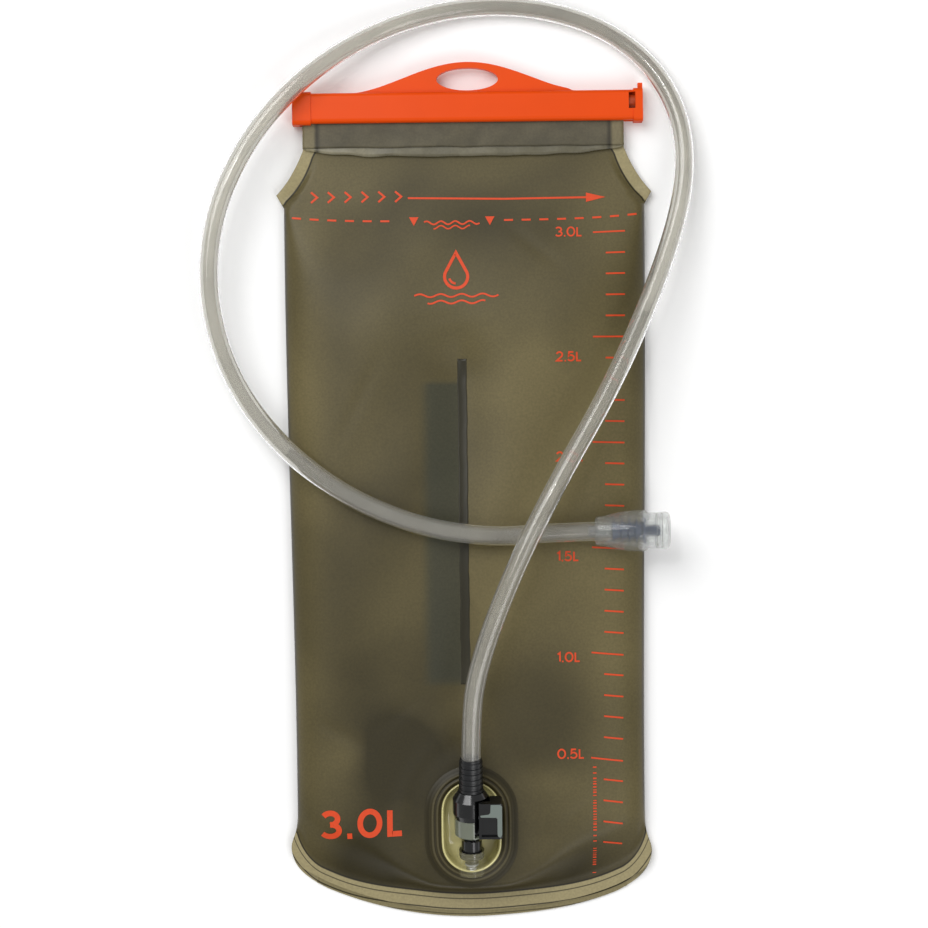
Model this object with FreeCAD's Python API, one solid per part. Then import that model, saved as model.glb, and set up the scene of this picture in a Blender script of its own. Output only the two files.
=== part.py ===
import FreeCAD, Part

# Hydration bladder: a soft water reservoir with a slide-seal top and a drink hose.
#
# Millimetres throughout. The bag lies on its back: X runs across it, Y runs from the
# bottom hem up to the slide bar, and Z comes out of the front face. Z = 0 is the
# surface that it lies on, and the origin is under the middle of the object.

import math
import os

from FreeCAD import Placement, Rotation, Vector

# ---- driving sizes: the bag -------------------------------------------------
BODY_WIDTH = 176.0        # across the side folds
BODY_LENGTH = 347.2       # bottom hem to the top of the straight sides
SHOULDER_STEP = 6.3       # square-cut end of each shoulder seam
SHOULDER_FLARE = 3.6      # how far a shoulder tip stands out past the side
SHOULDER_LENGTH = 21.6    # shoulder tip to the foot of the neck
NECK_WIDTH = 156.6
NECK_LENGTH = 12.7        # neck that shows below the slide bar
HEM_RADIUS = 178.7        # sweep of the bottom hem
HEM_WIDTH = 13.0          # welded band along the bottom
HEM_STEP = 3.2            # the front rim is cut this much shorter than the rear rim
CORNER_RADIUS = 20.0
FILM = 0.6                # thickness of one film
SEAM_WIDTH = 5.0          # weld along the shoulders
SIDE_WALL = 1.0           # doubled film along the side folds
CROWN_HEIGHT = 20.3       # top of the pillow above the table
CROWN_BELOW = 68.6        # crest of the pillow, down from the top of the sides
SIDE_POWER = 3.2          # squareness of the pillow's cross-section
SIDE_SEAM_Z = 3.0         # height of the side folds
SIDE_LIFT = 10.0          # width over which the rear film curls up to the folds
REAR_RISE = 36.0          # length over which the rear film climbs to the neck

# ---- driving sizes: the baffle and the gusset -------------------------------
BAFFLE_X = -1.9
BAFFLE_UP = 114.5         # lower end, up from the hem
BAFFLE_DOWN = 74.9        # upper end, down from the top of the sides
BAFFLE_WELD = 4.4
BAFFLE_LEAN = 17.5        # the web leans this far to the left
GROOVE_DEPTH = 5.0        # how far the baffle pulls the front film down
GROOVE_RADIUS = 53.0
GROOVE_RUNOUT = 22.0
GUSSET_DEPTH = 28.0
GUSSET_HALF_WIDTH = 76.0
GUSSET_FILM = 0.5

# ---- driving sizes: the closure ---------------------------------------------
BAR_HEIGHT = 14.8
BAR_THICKNESS = 10.3
BAR_WALL = 1.2
BAR_CORNER = 2.2
BAR_LEFT = -83.0
BAR_RIGHT = 87.6
CAP_LENGTH = 9.0
CAP_END_WALL = 3.5
CAP_STEP = 0.7            # the end cap and the mouth ring stand this proud of the bar
MOUTH_LENGTH = 4.5
MOUTH_FIN = 3.4
RAIL_HEAD_STEP = 1.2      # the head of the rail stands this proud of it
RAIL_HEAD_LENGTH = 3.0
RAIL_REACH = 84.0         # right end of the rail
RAIL_PLAY = 0.1
FOLD_GAP = 1.0            # between the neck and the flap that is folded over it
FLAP_LENGTH = 16.0        # flap that hangs below the bar
CLOSURE_PLAY = 0.5        # between the fold and the inside of the bar
FOLD_PLAY = 0.45          # over and under the fold, in the bar's channel
WINDOW_WIDTH = 3.2
WINDOW_HEIGHT = 8.0
HANGER_RISE = 14.6
HANGER_HALF_BASE = 57.0
HANGER_THICKNESS = 4.4
HANGER_X = 2.3
EYELET_HALF_WIDTH = 15.0
EYELET_HALF_HEIGHT = 5.5
EYELET_BAND = 2.9         # plastic left above the eyelet

# ---- driving sizes: the port and the plug -----------------------------------
PORT_UP = 45.6            # middle of the port, up from the hem
PORT_LEVEL = 17.1         # height of the film round the port
WELL_WIDTH = 29.0
WELL_LENGTH = 44.0
WELL_WALL = 1.2
WELL_FLOOR_Z = 4.6
WELL_RAMP_DOWN = 9.0      # the floor slopes up from here, along the plug
FLANGE_WIDTH = 42.0
FLANGE_LENGTH = 56.0
FLANGE_THICKNESS = 1.0
RIDGE_HEIGHT = 0.5
RIDGE_WIDTH = 1.0
RIDGE_INSETS = (1.6, 4.0)
PLUG_TILT = 17.5          # degrees above the table
PLUG_DOWN = 15.9          # origin of the plug's axis, down from the middle of the port
PLUG_Z = 16.4
SOCKET_RADIUS = 7.15
SOCKET_BACK = -6.5
SOCKET_MOUTH = 5.5
SOCKET_BORE = 6.2
SOCKET_FLOOR = 1.0
SEAT_LOW = 0.7
SEAT_HIGH = 1.5
SEAT_HOLE = 2.6
CHAMBER_RADIUS = 4.05
INLET_RADIUS = 1.5
RUNNING_FIT = 0.05        # radial, plug flange in the socket
ASSEMBLY_GAP = 0.1        # radial, between pieces that are pressed or screwed together
CORE_RADIUS = 6.0
CORE_TOP = 34.4
NECK_RADIUS = 5.0
FLOW_BORE = 1.6
PROBE_RADIUS = 2.2
PROBE_TIP = -0.8
O_RING_SECTION = 0.8
O_RING_CENTRE = 2.8
SHROUD_RADIUS = 8.2
SHROUD_LOW = 13.6
SHROUD_HIGH = 22.6
COLLAR_RADIUS = 9.0
COLLAR_TOP = 36.3
RELIEF_TOP = 53.0
RELIEF_FOOT_RADIUS = 5.5
RELIEF_TIP_RADIUS = 5.2
RELIEF_RIB = 0.45
RELIEF_RIB_COUNT = 6
POPPET_TRAVEL = 1.5
POPPET_HEAD_RADIUS = 3.4
POPPET_STEM_RADIUS = 1.1
BUTTON_TRAVEL = 1.8
BUTTON_LOW = 15.0
BUTTON_HIGH = 33.4
BUTTON_INNER_X = 8.9
BUTTON_OUTER_X = 14.9
BUTTON_SADDLE_X = 3.6
BUTTON_BOTTOM = 0.2       # heights above the plug's own axis
BUTTON_TOP = 10.0
BUTTON_SPRING_S = 24.0
BUTTON_SPRING_N = 3.2
BUTTON_SPRING_RADIUS = 1.5
BUTTON_SPRING_WIRE = 0.22

# ---- driving sizes: the hose and the bite valve -----------------------------
HOSE_RADIUS = 4.75
HOSE_BORE = 3.175
HOSE_OVERLAP = 0.5        # gap between the end of the hose and the core
BARB_RADIUS = 3.12
BARB_ROOT = 2.7
BARB_PITCH = 3.6
VALVE_REACH = 8.3         # the bite valve ends this far outside the bag's right side
VALVE_LENGTH = 34.1
VALVE_TIP_LENGTH = 11.5
VALVE_GRIP = 7.1          # hose held in the valve's collar
VALVE_Y = -20.4
VALVE_Z = 25.0
VALVE_WALL = 1.5
VALVE_COLLAR_RADIUS = 6.0
VALVE_SKIRT_RADIUS = 9.0
VALVE_TIP_RADIUS = 8.2
SLIT_LENGTH = 9.0
SLIT_WIDTH = 0.3
STEM_RADIUS = 3.0

# Route of the hose between its two straight ends, chosen by hand for a bag
# ROUTE_WIDTH across and ROUTE_LENGTH long: over the bag and
# across itself, off the right edge, round past the slide bar on the table, back up
# over the left edge, and along the bag to the bite valve.
ROUTE_WIDTH = 176.0
ROUTE_LENGTH = 417.2
ROUTE_MIDDLE = 80.0       # beyond this the route keeps its distance from the bag's ends
HOSE_ROUTE = (
    (0, -115, 36.5), (3, -86, 42), (21, -39, 45.5), (43, 4, 45), (68, 46, 36),
    (87, 86, 27), (101, 122, 19), (108, 152, 14), (106, 181, 10), (93, 206, 7.4),
    (69, 225, 5.2), (38, 235, 4.8), (5, 236.5, 4.8), (-28, 229.5, 7.6), (-58, 215, 14),
    (-84, 195, 19), (-106, 168, 22), (-121, 135, 23), (-125, 98, 22.6), (-116, 60, 22.4),
    (-95, 27, 24), (-63, 0, 25.8), (-25, -17, 25.6), (12, -23, 25.2), (40, -20.6, 25),
)

# ---- places that follow from the sizes --------------------------------------
TOTAL_LENGTH = (BODY_LENGTH + SHOULDER_STEP + SHOULDER_LENGTH + NECK_LENGTH
                + BAR_HEIGHT + HANGER_RISE)
HEM_Y = -TOTAL_LENGTH / 2
SIDE_TOP_Y = HEM_Y + BODY_LENGTH
TIP_Y = SIDE_TOP_Y + SHOULDER_STEP
NECK_BASE_Y = TIP_Y + SHOULDER_LENGTH
BAR_Y = NECK_BASE_Y + NECK_LENGTH
BAR_TOP_Y = BAR_Y + BAR_HEIGHT
PANEL_TOP_Y = BAR_Y - NECK_LENGTH / 2
LIP_Y = BAR_Y - FLAP_LENGTH
HEM_CENTRE_Y = HEM_Y + HEM_RADIUS
HALF_WIDTH = BODY_WIDTH / 2
HALF_NECK = NECK_WIDTH / 2
BAR_LOW_Z = CAP_STEP
BAR_HIGH_Z = BAR_LOW_Z + BAR_THICKNESS
CLOSURE_Z = (BAR_LOW_Z + BAR_HIGH_Z) / 2
FOLD_RADIUS = BAR_THICKNESS / 2 - BAR_WALL - FOLD_PLAY
RAIL_RADIUS = FOLD_RADIUS - RAIL_PLAY - 2 * FILM
RAIL_HEAD_RADIUS = RAIL_RADIUS + RAIL_HEAD_STEP
NECK_Z = CLOSURE_Z - FOLD_GAP / 2 - 2 * FILM
RAIL_Y = BAR_TOP_Y - BAR_WALL - CLOSURE_PLAY - FOLD_RADIUS
SLOT_HALF = FOLD_GAP / 2 + 2 * FILM + CLOSURE_PLAY
GROOVE_Z = CROWN_HEIGHT - GROOVE_DEPTH
HOSE_START = CORE_TOP + HOSE_OVERLAP
CROWN_CREST = SIDE_TOP_Y - CROWN_BELOW
BAFFLE_LOW = HEM_Y + BAFFLE_UP
BAFFLE_HIGH = SIDE_TOP_Y - BAFFLE_DOWN
PORT_Y = HEM_Y + PORT_UP
WELL_RAMP_Y = PORT_Y - WELL_RAMP_DOWN
PLUG_ORIGIN = Vector(0, PORT_Y - PLUG_DOWN, PLUG_Z)
VALVE_END = HALF_WIDTH + VALVE_REACH
VALVE_START = VALVE_END - VALVE_LENGTH
VALVE_HOSE_END = VALVE_START + VALVE_GRIP
VALVE_SHOULDER = VALVE_END - VALVE_TIP_LENGTH
FAR = 600.0               # longer than anything that is cut


# ---- helpers ----------------------------------------------------------------
def box(x0, x1, y0, y1, z0, z1):
    """Block between two corners."""
    return Part.makeBox(x1 - x0, y1 - y0, z1 - z0, Vector(x0, y0, z0))


def polygon(points):
    """Flat face inside a closed run of straight lines."""
    return Part.Face(Part.makePolygon([Vector(*p) for p in points] + [Vector(*points[0])]))


def prism_x(yz_points, x0, x1):
    """Solid with a straight-sided YZ section."""
    return polygon([(x0, y, z) for y, z in yz_points]).extrude(Vector(x1 - x0, 0, 0))


def stadium(width, length, y_mid, z0, z1):
    """Upright block with a stadium outline, long side along Y."""
    radius = width / 2
    half = length / 2 - radius
    left_low, right_low = Vector(-radius, y_mid - half, z0), Vector(radius, y_mid - half, z0)
    right_high, left_high = Vector(radius, y_mid + half, z0), Vector(-radius, y_mid + half, z0)
    edges = [
        Part.Arc(left_low, Vector(0, y_mid - half - radius, z0), right_low).toShape(),
        Part.LineSegment(right_low, right_high).toShape(),
        Part.Arc(right_high, Vector(0, y_mid + half + radius, z0), left_high).toShape(),
        Part.LineSegment(left_high, left_low).toShape(),
    ]
    return Part.Face(Part.Wire(edges)).extrude(Vector(0, 0, z1 - z0))


def rounded_bar(y0, y1, z0, z1, radius, x0, x1):
    """Bar along X with a rounded rectangular section."""
    bar = box(x0, x1, y0, y1, z0, z1)
    long_edges = [e for e in bar.Edges if abs(e.Length - (x1 - x0)) < 1e-6
                  and abs(e.tangentAt(e.FirstParameter).x) > 0.99]
    return bar.makeFillet(radius, long_edges)


def turned(profile):
    """Solid of revolution about Z from (height, radius) points."""
    face = polygon([(r, 0, s) for s, r in profile])
    return face.revolve(Vector(0, 0, 0), Vector(0, 0, 1), 360)


def rod(radius, s0, s1):
    """Round rod along Z."""
    return Part.makeCylinder(radius, s1 - s0, Vector(0, 0, s0))


def coil(radius, wire, length, turns):
    """Round-wire compression spring along Z from the origin."""
    helix = Part.makeHelix((length - 2 * wire) / turns, length - 2 * wire, radius)
    helix.translate(Vector(0, 0, wire))
    start = helix.Edges[0].valueAt(helix.Edges[0].FirstParameter)
    heading = helix.Edges[0].tangentAt(helix.Edges[0].FirstParameter)
    section = Part.Wire(Part.makeCircle(wire, start, heading))
    return Part.Wire(helix.Edges).makePipeShell([section], True, True)


def on_plug_axis(shape):
    """Carry a shape from its own Z axis to the tilted axis of the plug.

    Local Z becomes the plug's axis, and local -Y becomes its upper side.
    """
    shape = shape.copy()
    shape.Placement = Placement(PLUG_ORIGIN, Rotation(Vector(1, 0, 0), PLUG_TILT - 90)) \
        .multiply(shape.Placement)
    return shape


def on_valve_axis(shape):
    """Carry a shape from its own Z axis to the axis of the bite valve, along +X."""
    middle = Vector(0, VALVE_Y + route_shift(VALVE_Y), VALVE_Z)
    shape = shape.copy()
    shape.Placement = Placement(middle, Rotation(Vector(0, 1, 0), 90)).multiply(shape.Placement)
    return shape


def half_cosine(y0, z0, y1, z1, steps=8):
    """Points of a smooth climb that is level at both ends."""
    points = []
    for i in range(steps + 1):
        u = i / steps
        points.append((y0 + (y1 - y0) * u, z0 + (z1 - z0) * (1 - math.cos(math.pi * u)) / 2))
    return points


def level_spline(points, x):
    """Edge through YZ points at one X, level at both ends."""
    curve = Part.BSplineCurve()
    level = Vector(0, 1, 0)
    curve.interpolate(Points=[Vector(x, y, z) for y, z in points],
                      InitialTangent=level, FinalTangent=level)
    return curve.toShape()


# ---- the bag's surfaces, as solids that the films are cut from ---------------
def plan_edges(hem_radius):
    """Right half of the bag's flat outline, from the middle of the hem to the neck."""
    corner_x = HALF_WIDTH - CORNER_RADIUS
    corner_y = HEM_CENTRE_Y - math.sqrt((hem_radius - CORNER_RADIUS) ** 2 - corner_x ** 2)
    away = Vector(corner_x, corner_y - HEM_CENTRE_Y, 0).normalize()
    touch = Vector(0, HEM_CENTRE_Y, 0) + away * hem_radius
    angle = math.atan2(away.y, away.x) / 2
    corner_mid = Vector(corner_x, corner_y, 0) \
        + Vector(math.cos(angle), math.sin(angle), 0) * CORNER_RADIUS
    hem_half = math.asin(touch.x / hem_radius) / 2
    hem_mid = Vector(hem_radius * math.sin(hem_half),
                     HEM_CENTRE_Y - hem_radius * math.cos(hem_half), 0)
    bottom = Vector(0, HEM_CENTRE_Y - hem_radius, 0)
    side_low = Vector(HALF_WIDTH, corner_y, 0)
    side_high = Vector(HALF_WIDTH, SIDE_TOP_Y, 0)
    tip = Vector(HALF_WIDTH + SHOULDER_FLARE, TIP_Y, 0)
    neck = Vector(HALF_NECK, NECK_BASE_Y, 0)
    chord = neck - tip
    inward = Vector(chord.y, -chord.x, 0).normalize() * -1.0
    bow = (tip + neck) * 0.5 + inward * (SHOULDER_LENGTH * 0.08)
    neck_top = Vector(HALF_NECK, PANEL_TOP_Y, 0)
    return [
        Part.Arc(bottom, hem_mid, touch), Part.Arc(touch, corner_mid, side_low),
        Part.LineSegment(side_low, side_high), Part.LineSegment(side_high, tip),
        Part.Arc(tip, bow, neck), Part.LineSegment(neck, neck_top),
    ]


def plan_prism(hem_radius):
    """Upright block with the bag's flat outline."""
    right = [piece.toShape() for piece in plan_edges(hem_radius)]
    left = [edge.mirror(Vector(0, 0, 0), Vector(1, 0, 0)) for edge in right]
    top = Part.LineSegment(Vector(HALF_NECK, PANEL_TOP_Y, 0),
                           Vector(-HALF_NECK, PANEL_TOP_Y, 0)).toShape()
    wire = Part.Wire(Part.__sortEdges__(right + [top] + left))
    block = Part.Face(wire).extrude(Vector(0, 0, CROWN_HEIGHT * 2))
    block.translate(Vector(0, 0, -1))
    return block


def cavity_prism():
    """Upright block with the outline of the space inside the welds."""
    side = HALF_WIDTH - SIDE_WALL
    neck = HALF_NECK - SEAM_WIDTH
    outline = [(-side, HEM_Y - 10, -1), (side, HEM_Y - 10, -1), (side, SIDE_TOP_Y, -1),
               (neck, NECK_BASE_Y, -1), (neck, PANEL_TOP_Y + 1, -1),
               (-neck, PANEL_TOP_Y + 1, -1), (-neck, NECK_BASE_Y, -1), (-side, SIDE_TOP_Y, -1)]
    return polygon(outline).extrude(Vector(0, 0, CROWN_HEIGHT * 2))


def under_sides(inset):
    """Everything under the pillow's cross-section."""
    half = HALF_WIDTH - inset
    rise = CROWN_HEIGHT + 1 - inset - SIDE_SEAM_Z
    steps = 20
    points = []
    for i in range(steps + 1):
        t = math.pi * i / steps
        reach = abs(math.cos(t)) ** (2 / SIDE_POWER)
        points.append(Vector(math.copysign(reach, math.cos(t)) * half, HEM_Y - 20,
                             SIDE_SEAM_Z + rise * math.sin(t)))
    curve = Part.BSplineCurve()
    curve.interpolate(Points=points)
    right, left = points[0], points[-1]
    floor = [Vector(left.x, left.y, -2), Vector(right.x, right.y, -2)]
    edges = [curve.toShape(), Part.LineSegment(left, floor[0]).toShape(),
             Part.LineSegment(floor[0], floor[1]).toShape(),
             Part.LineSegment(floor[1], right).toShape()]
    return Part.Face(Part.Wire(edges)).extrude(Vector(0, FAR, 0))


def under_crown(inset):
    """Everything under the pillow's long section, from the port up to the neck."""
    port_end = PORT_Y + FLANGE_LENGTH / 2 + 1
    neck_z = NECK_Z + 2 * FILM - inset
    crown, port = CROWN_HEIGHT - inset, PORT_LEVEL - inset
    low_y, high_y = HEM_Y - 20, PANEL_TOP_Y + 20
    x = -HALF_WIDTH - 20
    climb = half_cosine(port_end, port, CROWN_CREST, crown)
    fall = half_cosine(CROWN_CREST, crown, LIP_Y, neck_z)
    start, end = Vector(x, low_y, port), Vector(x, high_y, neck_z)
    edges = [
        Part.LineSegment(start, Vector(x, port_end, port)).toShape(),
        level_spline(climb, x), level_spline(fall, x),
        Part.LineSegment(Vector(x, LIP_Y, neck_z), end).toShape(),
        Part.LineSegment(end, Vector(x, high_y, -2)).toShape(),
        Part.LineSegment(Vector(x, high_y, -2), Vector(x, low_y, -2)).toShape(),
        Part.LineSegment(Vector(x, low_y, -2), start).toShape(),
    ]
    return Part.Face(Part.Wire(edges)).extrude(Vector(-2 * x, 0, 0))


def under_hem(inset):
    """Everything inside the bottom wall, with the flat welded band outside it."""
    wall = HEM_RADIUS - HEM_WIDTH - inset
    band = SIDE_SEAM_Z + FILM - inset
    round_over = 2.5
    tall = CROWN_HEIGHT * 2
    shape = turned([(-2, 0), (-2, HEM_RADIUS + 20), (band, HEM_RADIUS + 20), (band, wall + 1.0),
                    (PORT_LEVEL - inset - round_over, wall),
                    (PORT_LEVEL - inset, wall - round_over), (tall, wall - round_over), (tall, 0)])
    shape.translate(Vector(0, HEM_CENTRE_Y, 0))
    upper = box(-FAR, FAR, HEM_CENTRE_Y, FAR, -2, tall)
    return shape.fuse(upper)


def groove(extra):
    """Spindle over the baffle that presses the front film down along it."""
    radius = GROOVE_RADIUS + extra
    axis_z = GROOVE_Z + GROOVE_RADIUS
    ends = radius - GROOVE_DEPTH * 1.4
    low, high = BAFFLE_LOW, BAFFLE_HIGH
    shape = turned([(low - GROOVE_RUNOUT, 0), (low - GROOVE_RUNOUT, ends), (low, radius),
                    (high, radius), (high + GROOVE_RUNOUT, ends), (high + GROOVE_RUNOUT, 0)])
    shape.rotate(Vector(0, 0, 0), Vector(1, 0, 0), -90)
    shape.translate(Vector(BAFFLE_X, 0, axis_z))
    return shape


def above_rear(lift):
    """Everything above the rear film's outer face, raised by lift."""
    flat = HALF_WIDTH - SIDE_LIFT
    radius = (SIDE_LIFT ** 2 + SIDE_SEAM_Z ** 2) / (2 * SIDE_SEAM_Z)
    edge_x = HALF_WIDTH + 8
    edge_z = radius - math.sqrt(radius ** 2 - (edge_x - flat) ** 2)
    mid_x = (edge_x + flat) / 2
    mid_z = radius - math.sqrt(radius ** 2 - (mid_x - flat) ** 2)
    y, top = HEM_Y - 20, CROWN_HEIGHT * 2

    def at(x, z):
        return Vector(x, y, z + lift)

    edges = [
        Part.LineSegment(at(-flat, 0), at(flat, 0)).toShape(),
        Part.Arc(at(flat, 0), at(mid_x, mid_z), at(edge_x, edge_z)).toShape(),
        Part.LineSegment(at(edge_x, edge_z), at(edge_x, top)).toShape(),
        Part.LineSegment(at(edge_x, top), at(-edge_x, top)).toShape(),
        Part.LineSegment(at(-edge_x, top), at(-edge_x, edge_z)).toShape(),
        Part.Arc(at(-edge_x, edge_z), at(-mid_x, mid_z), at(-flat, 0)).toShape(),
    ]
    across = Part.Face(Part.Wire(edges)).extrude(Vector(0, FAR, 0))
    x, high_y = -edge_x - 5, PANEL_TOP_Y + 20
    foot = NECK_BASE_Y - REAR_RISE
    climb = half_cosine(foot, lift, NECK_BASE_Y, NECK_Z + lift)
    start, end = Vector(x, y, lift), Vector(x, high_y, NECK_Z + lift)
    edges = [
        Part.LineSegment(start, Vector(x, foot, lift)).toShape(), level_spline(climb, x),
        Part.LineSegment(Vector(x, NECK_BASE_Y, NECK_Z + lift), end).toShape(),
        Part.LineSegment(end, Vector(x, high_y, top)).toShape(),
        Part.LineSegment(Vector(x, high_y, top), Vector(x, y, top)).toShape(),
        Part.LineSegment(Vector(x, y, top), start).toShape(),
    ]
    along = Part.Face(Part.Wire(edges)).extrude(Vector(-2 * x, 0, 0))
    return across.common(along)


# ---- the bag ----------------------------------------------------------------
def rear_panel():
    """Rear film: flat on the table, curled up at the sides and at the neck."""
    return plan_prism(HEM_RADIUS).common(above_rear(0)).cut(above_rear(FILM))


def front_panel():
    """Front film: the pillow, with the groove along the baffle and the port hole."""
    def under(inset):
        solid = under_sides(inset).common(under_crown(inset)).common(under_hem(inset))
        return solid.cut(groove(inset))

    shell = plan_prism(HEM_RADIUS - HEM_STEP).common(under(0)).common(above_rear(FILM))
    shell = shell.cut(under(FILM).common(cavity_prism()))
    shell = shell.cut(gusset_space())
    hole = stadium(WELL_WIDTH + 2 * WELL_WALL, WELL_LENGTH + 2 * WELL_WALL, PORT_Y,
                   SIDE_SEAM_Z, CROWN_HEIGHT * 2)
    return shell.cut(hole).cut(socket_space())


def gusset_space():
    """Pleat between the two rims of the bottom hem, under the front rim."""
    inner, outer = HEM_RADIUS - GUSSET_DEPTH, HEM_RADIUS + 5
    shape = turned([(FILM, inner), (FILM, outer), (SIDE_SEAM_Z, outer), (SIDE_SEAM_Z, inner)])
    shape.translate(Vector(0, HEM_CENTRE_Y, 0))
    return shape.common(box(-GUSSET_HALF_WIDTH, GUSSET_HALF_WIDTH, HEM_Y - 10, 0,
                            0, SIDE_SEAM_Z))


def bottom_gusset():
    """Folded film that joins the two rims, open to the outside."""
    inner, outer = HEM_RADIUS - GUSSET_DEPTH, HEM_RADIUS + 5
    pleat = turned([(FILM + GUSSET_FILM, inner + GUSSET_FILM), (FILM + GUSSET_FILM, outer),
                    (SIDE_SEAM_Z - GUSSET_FILM, outer),
                    (SIDE_SEAM_Z - GUSSET_FILM, inner + GUSSET_FILM)])
    pleat.translate(Vector(0, HEM_CENTRE_Y, 0))
    film = gusset_space().cut(pleat)
    front_leaf = film.common(plan_prism(HEM_RADIUS - HEM_STEP)) \
        .common(box(-FAR, FAR, -FAR, FAR, CLOSURE_Z / 3, FAR))
    rear_leaf = film.common(plan_prism(HEM_RADIUS)) \
        .common(box(-FAR, FAR, -FAR, FAR, -FAR, CLOSURE_Z / 3))
    return front_leaf.fuse(rear_leaf).removeSplitter()


def baffle_web():
    """Leaning strip of film between the panels, with a weld foot on each."""
    top, half = GROOVE_Z - FILM, BAFFLE_WELD / 2
    foot_x = BAFFLE_X - BAFFLE_LEAN
    upper = box(BAFFLE_X - half, BAFFLE_X + half, BAFFLE_LOW, BAFFLE_HIGH, top - GUSSET_FILM, top)
    lower = box(foot_x - half, foot_x + half, BAFFLE_LOW, BAFFLE_HIGH, FILM, FILM + GUSSET_FILM)
    thick = GUSSET_FILM
    leaf = polygon([
        (BAFFLE_X - half, BAFFLE_LOW, top - thick), (BAFFLE_X - half + thick, BAFFLE_LOW, top - thick),
        (foot_x + half, BAFFLE_LOW, FILM + thick), (foot_x + half - thick, BAFFLE_LOW, FILM + thick),
    ]).extrude(Vector(0, BAFFLE_HIGH - BAFFLE_LOW, 0))
    return upper.fuse([lower, leaf]).removeSplitter()


# ---- the closure ------------------------------------------------------------
def neck_fold():
    """Both films above the panels, folded forward over the rail, with the lip."""
    def keyhole(radius, half_gap, y_low):
        round_part = Part.makeCylinder(radius, NECK_WIDTH, Vector(-HALF_NECK, RAIL_Y, CLOSURE_Z),
                                       Vector(1, 0, 0))
        strip = box(-HALF_NECK, HALF_NECK, y_low, RAIL_Y, CLOSURE_Z - half_gap, CLOSURE_Z + half_gap)
        return round_part.fuse(strip)

    outer = keyhole(FOLD_RADIUS, FOLD_GAP / 2 + 2 * FILM, LIP_Y)
    inner = keyhole(RAIL_RADIUS + RAIL_PLAY, FOLD_GAP / 2, LIP_Y - 1)
    below = box(-FAR, FAR, LIP_Y - 1, PANEL_TOP_Y, 0, CLOSURE_Z)
    return outer.cut(inner).cut(below)


def fold_rail():
    """Rod inside the fold, with a head that shows in the bar's window."""
    def length(radius, x0, x1):
        return Part.makeCylinder(radius, x1 - x0, Vector(x0, RAIL_Y, CLOSURE_Z), Vector(1, 0, 0))

    head_x = RAIL_REACH - RAIL_HEAD_LENGTH
    return length(RAIL_RADIUS, -HALF_NECK, head_x).fuse(
        length(RAIL_HEAD_RADIUS, head_x, RAIL_REACH)).removeSplitter()


def bar_room(x0, x1):
    """Hollow of the bar: the channel round the fold, and the slot below it."""
    room = rounded_bar(BAR_Y + BAR_WALL, BAR_TOP_Y - BAR_WALL, BAR_LOW_Z + BAR_WALL,
                       BAR_HIGH_Z - BAR_WALL, BAR_CORNER / 2, x0, x1)
    slot = box(x0, x1, BAR_Y - 5, BAR_Y + BAR_WALL + 1, CLOSURE_Z - SLOT_HALF,
               CLOSURE_Z + SLOT_HALF)
    return room.fuse(slot)


def hanger():
    """Arched plate above the bar, with the eyelet that it hangs from."""
    steps = 16
    low, high = CLOSURE_Z - HANGER_THICKNESS / 2, CLOSURE_Z + HANGER_THICKNESS / 2
    root = BAR_TOP_Y - BAR_WALL / 2
    points = []
    for i in range(steps + 1):
        u = 2 * i / steps - 1
        rise = ((1 + math.cos(math.pi * u)) / 2) ** 0.85
        points.append(Vector(HANGER_X + u * HANGER_HALF_BASE, BAR_TOP_Y + HANGER_RISE * rise, low))
    curve = Part.BSplineCurve()
    curve.interpolate(Points=points, InitialTangent=Vector(1, 0, 0), FinalTangent=Vector(1, 0, 0))
    left, right = points[0], points[-1]
    base = [Vector(right.x, root, low), Vector(left.x, root, low)]
    edges = [curve.toShape(), Part.LineSegment(right, base[0]).toShape(),
             Part.LineSegment(base[0], base[1]).toShape(), Part.LineSegment(base[1], left).toShape()]
    plate = Part.Face(Part.Wire(edges)).extrude(Vector(0, 0, high - low))
    eyelet_y = BAR_TOP_Y + HANGER_RISE - EYELET_BAND - EYELET_HALF_HEIGHT
    ellipse = Part.Ellipse(Vector(HANGER_X, eyelet_y, low - 1), EYELET_HALF_WIDTH,
                           EYELET_HALF_HEIGHT).toShape()
    eyelet = Part.Face(Part.Wire(ellipse)).extrude(Vector(0, 0, high - low + 2))
    return plate.cut(eyelet)


def slider_bar():
    """C-shaped bar that clamps the fold, open at its right end."""
    body = rounded_bar(BAR_Y, BAR_TOP_Y, BAR_LOW_Z, BAR_HIGH_Z, BAR_CORNER,
                       BAR_LEFT + CAP_END_WALL, BAR_RIGHT)
    mouth = rounded_bar(BAR_Y - CAP_STEP, BAR_TOP_Y + CAP_STEP, BAR_LOW_Z - CAP_STEP,
                        BAR_HIGH_Z + CAP_STEP, BAR_CORNER, BAR_RIGHT - MOUTH_LENGTH, BAR_RIGHT)
    fin = box(BAR_RIGHT - MOUTH_LENGTH / 2, BAR_RIGHT, BAR_TOP_Y - BAR_WALL,
              BAR_TOP_Y + MOUTH_FIN, CLOSURE_Z - HANGER_THICKNESS / 2,
              CLOSURE_Z + HANGER_THICKNESS / 2)
    bar = body.fuse([mouth, fin, hanger()])
    bar = bar.cut(bar_room(BAR_LEFT + CAP_END_WALL - 1, BAR_RIGHT + 1))
    window = box(RAIL_REACH - WINDOW_WIDTH, RAIL_REACH, RAIL_Y - WINDOW_HEIGHT / 2,
                 RAIL_Y + WINDOW_HEIGHT / 2, CLOSURE_Z, FAR)
    return bar.cut(window).removeSplitter()


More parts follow.
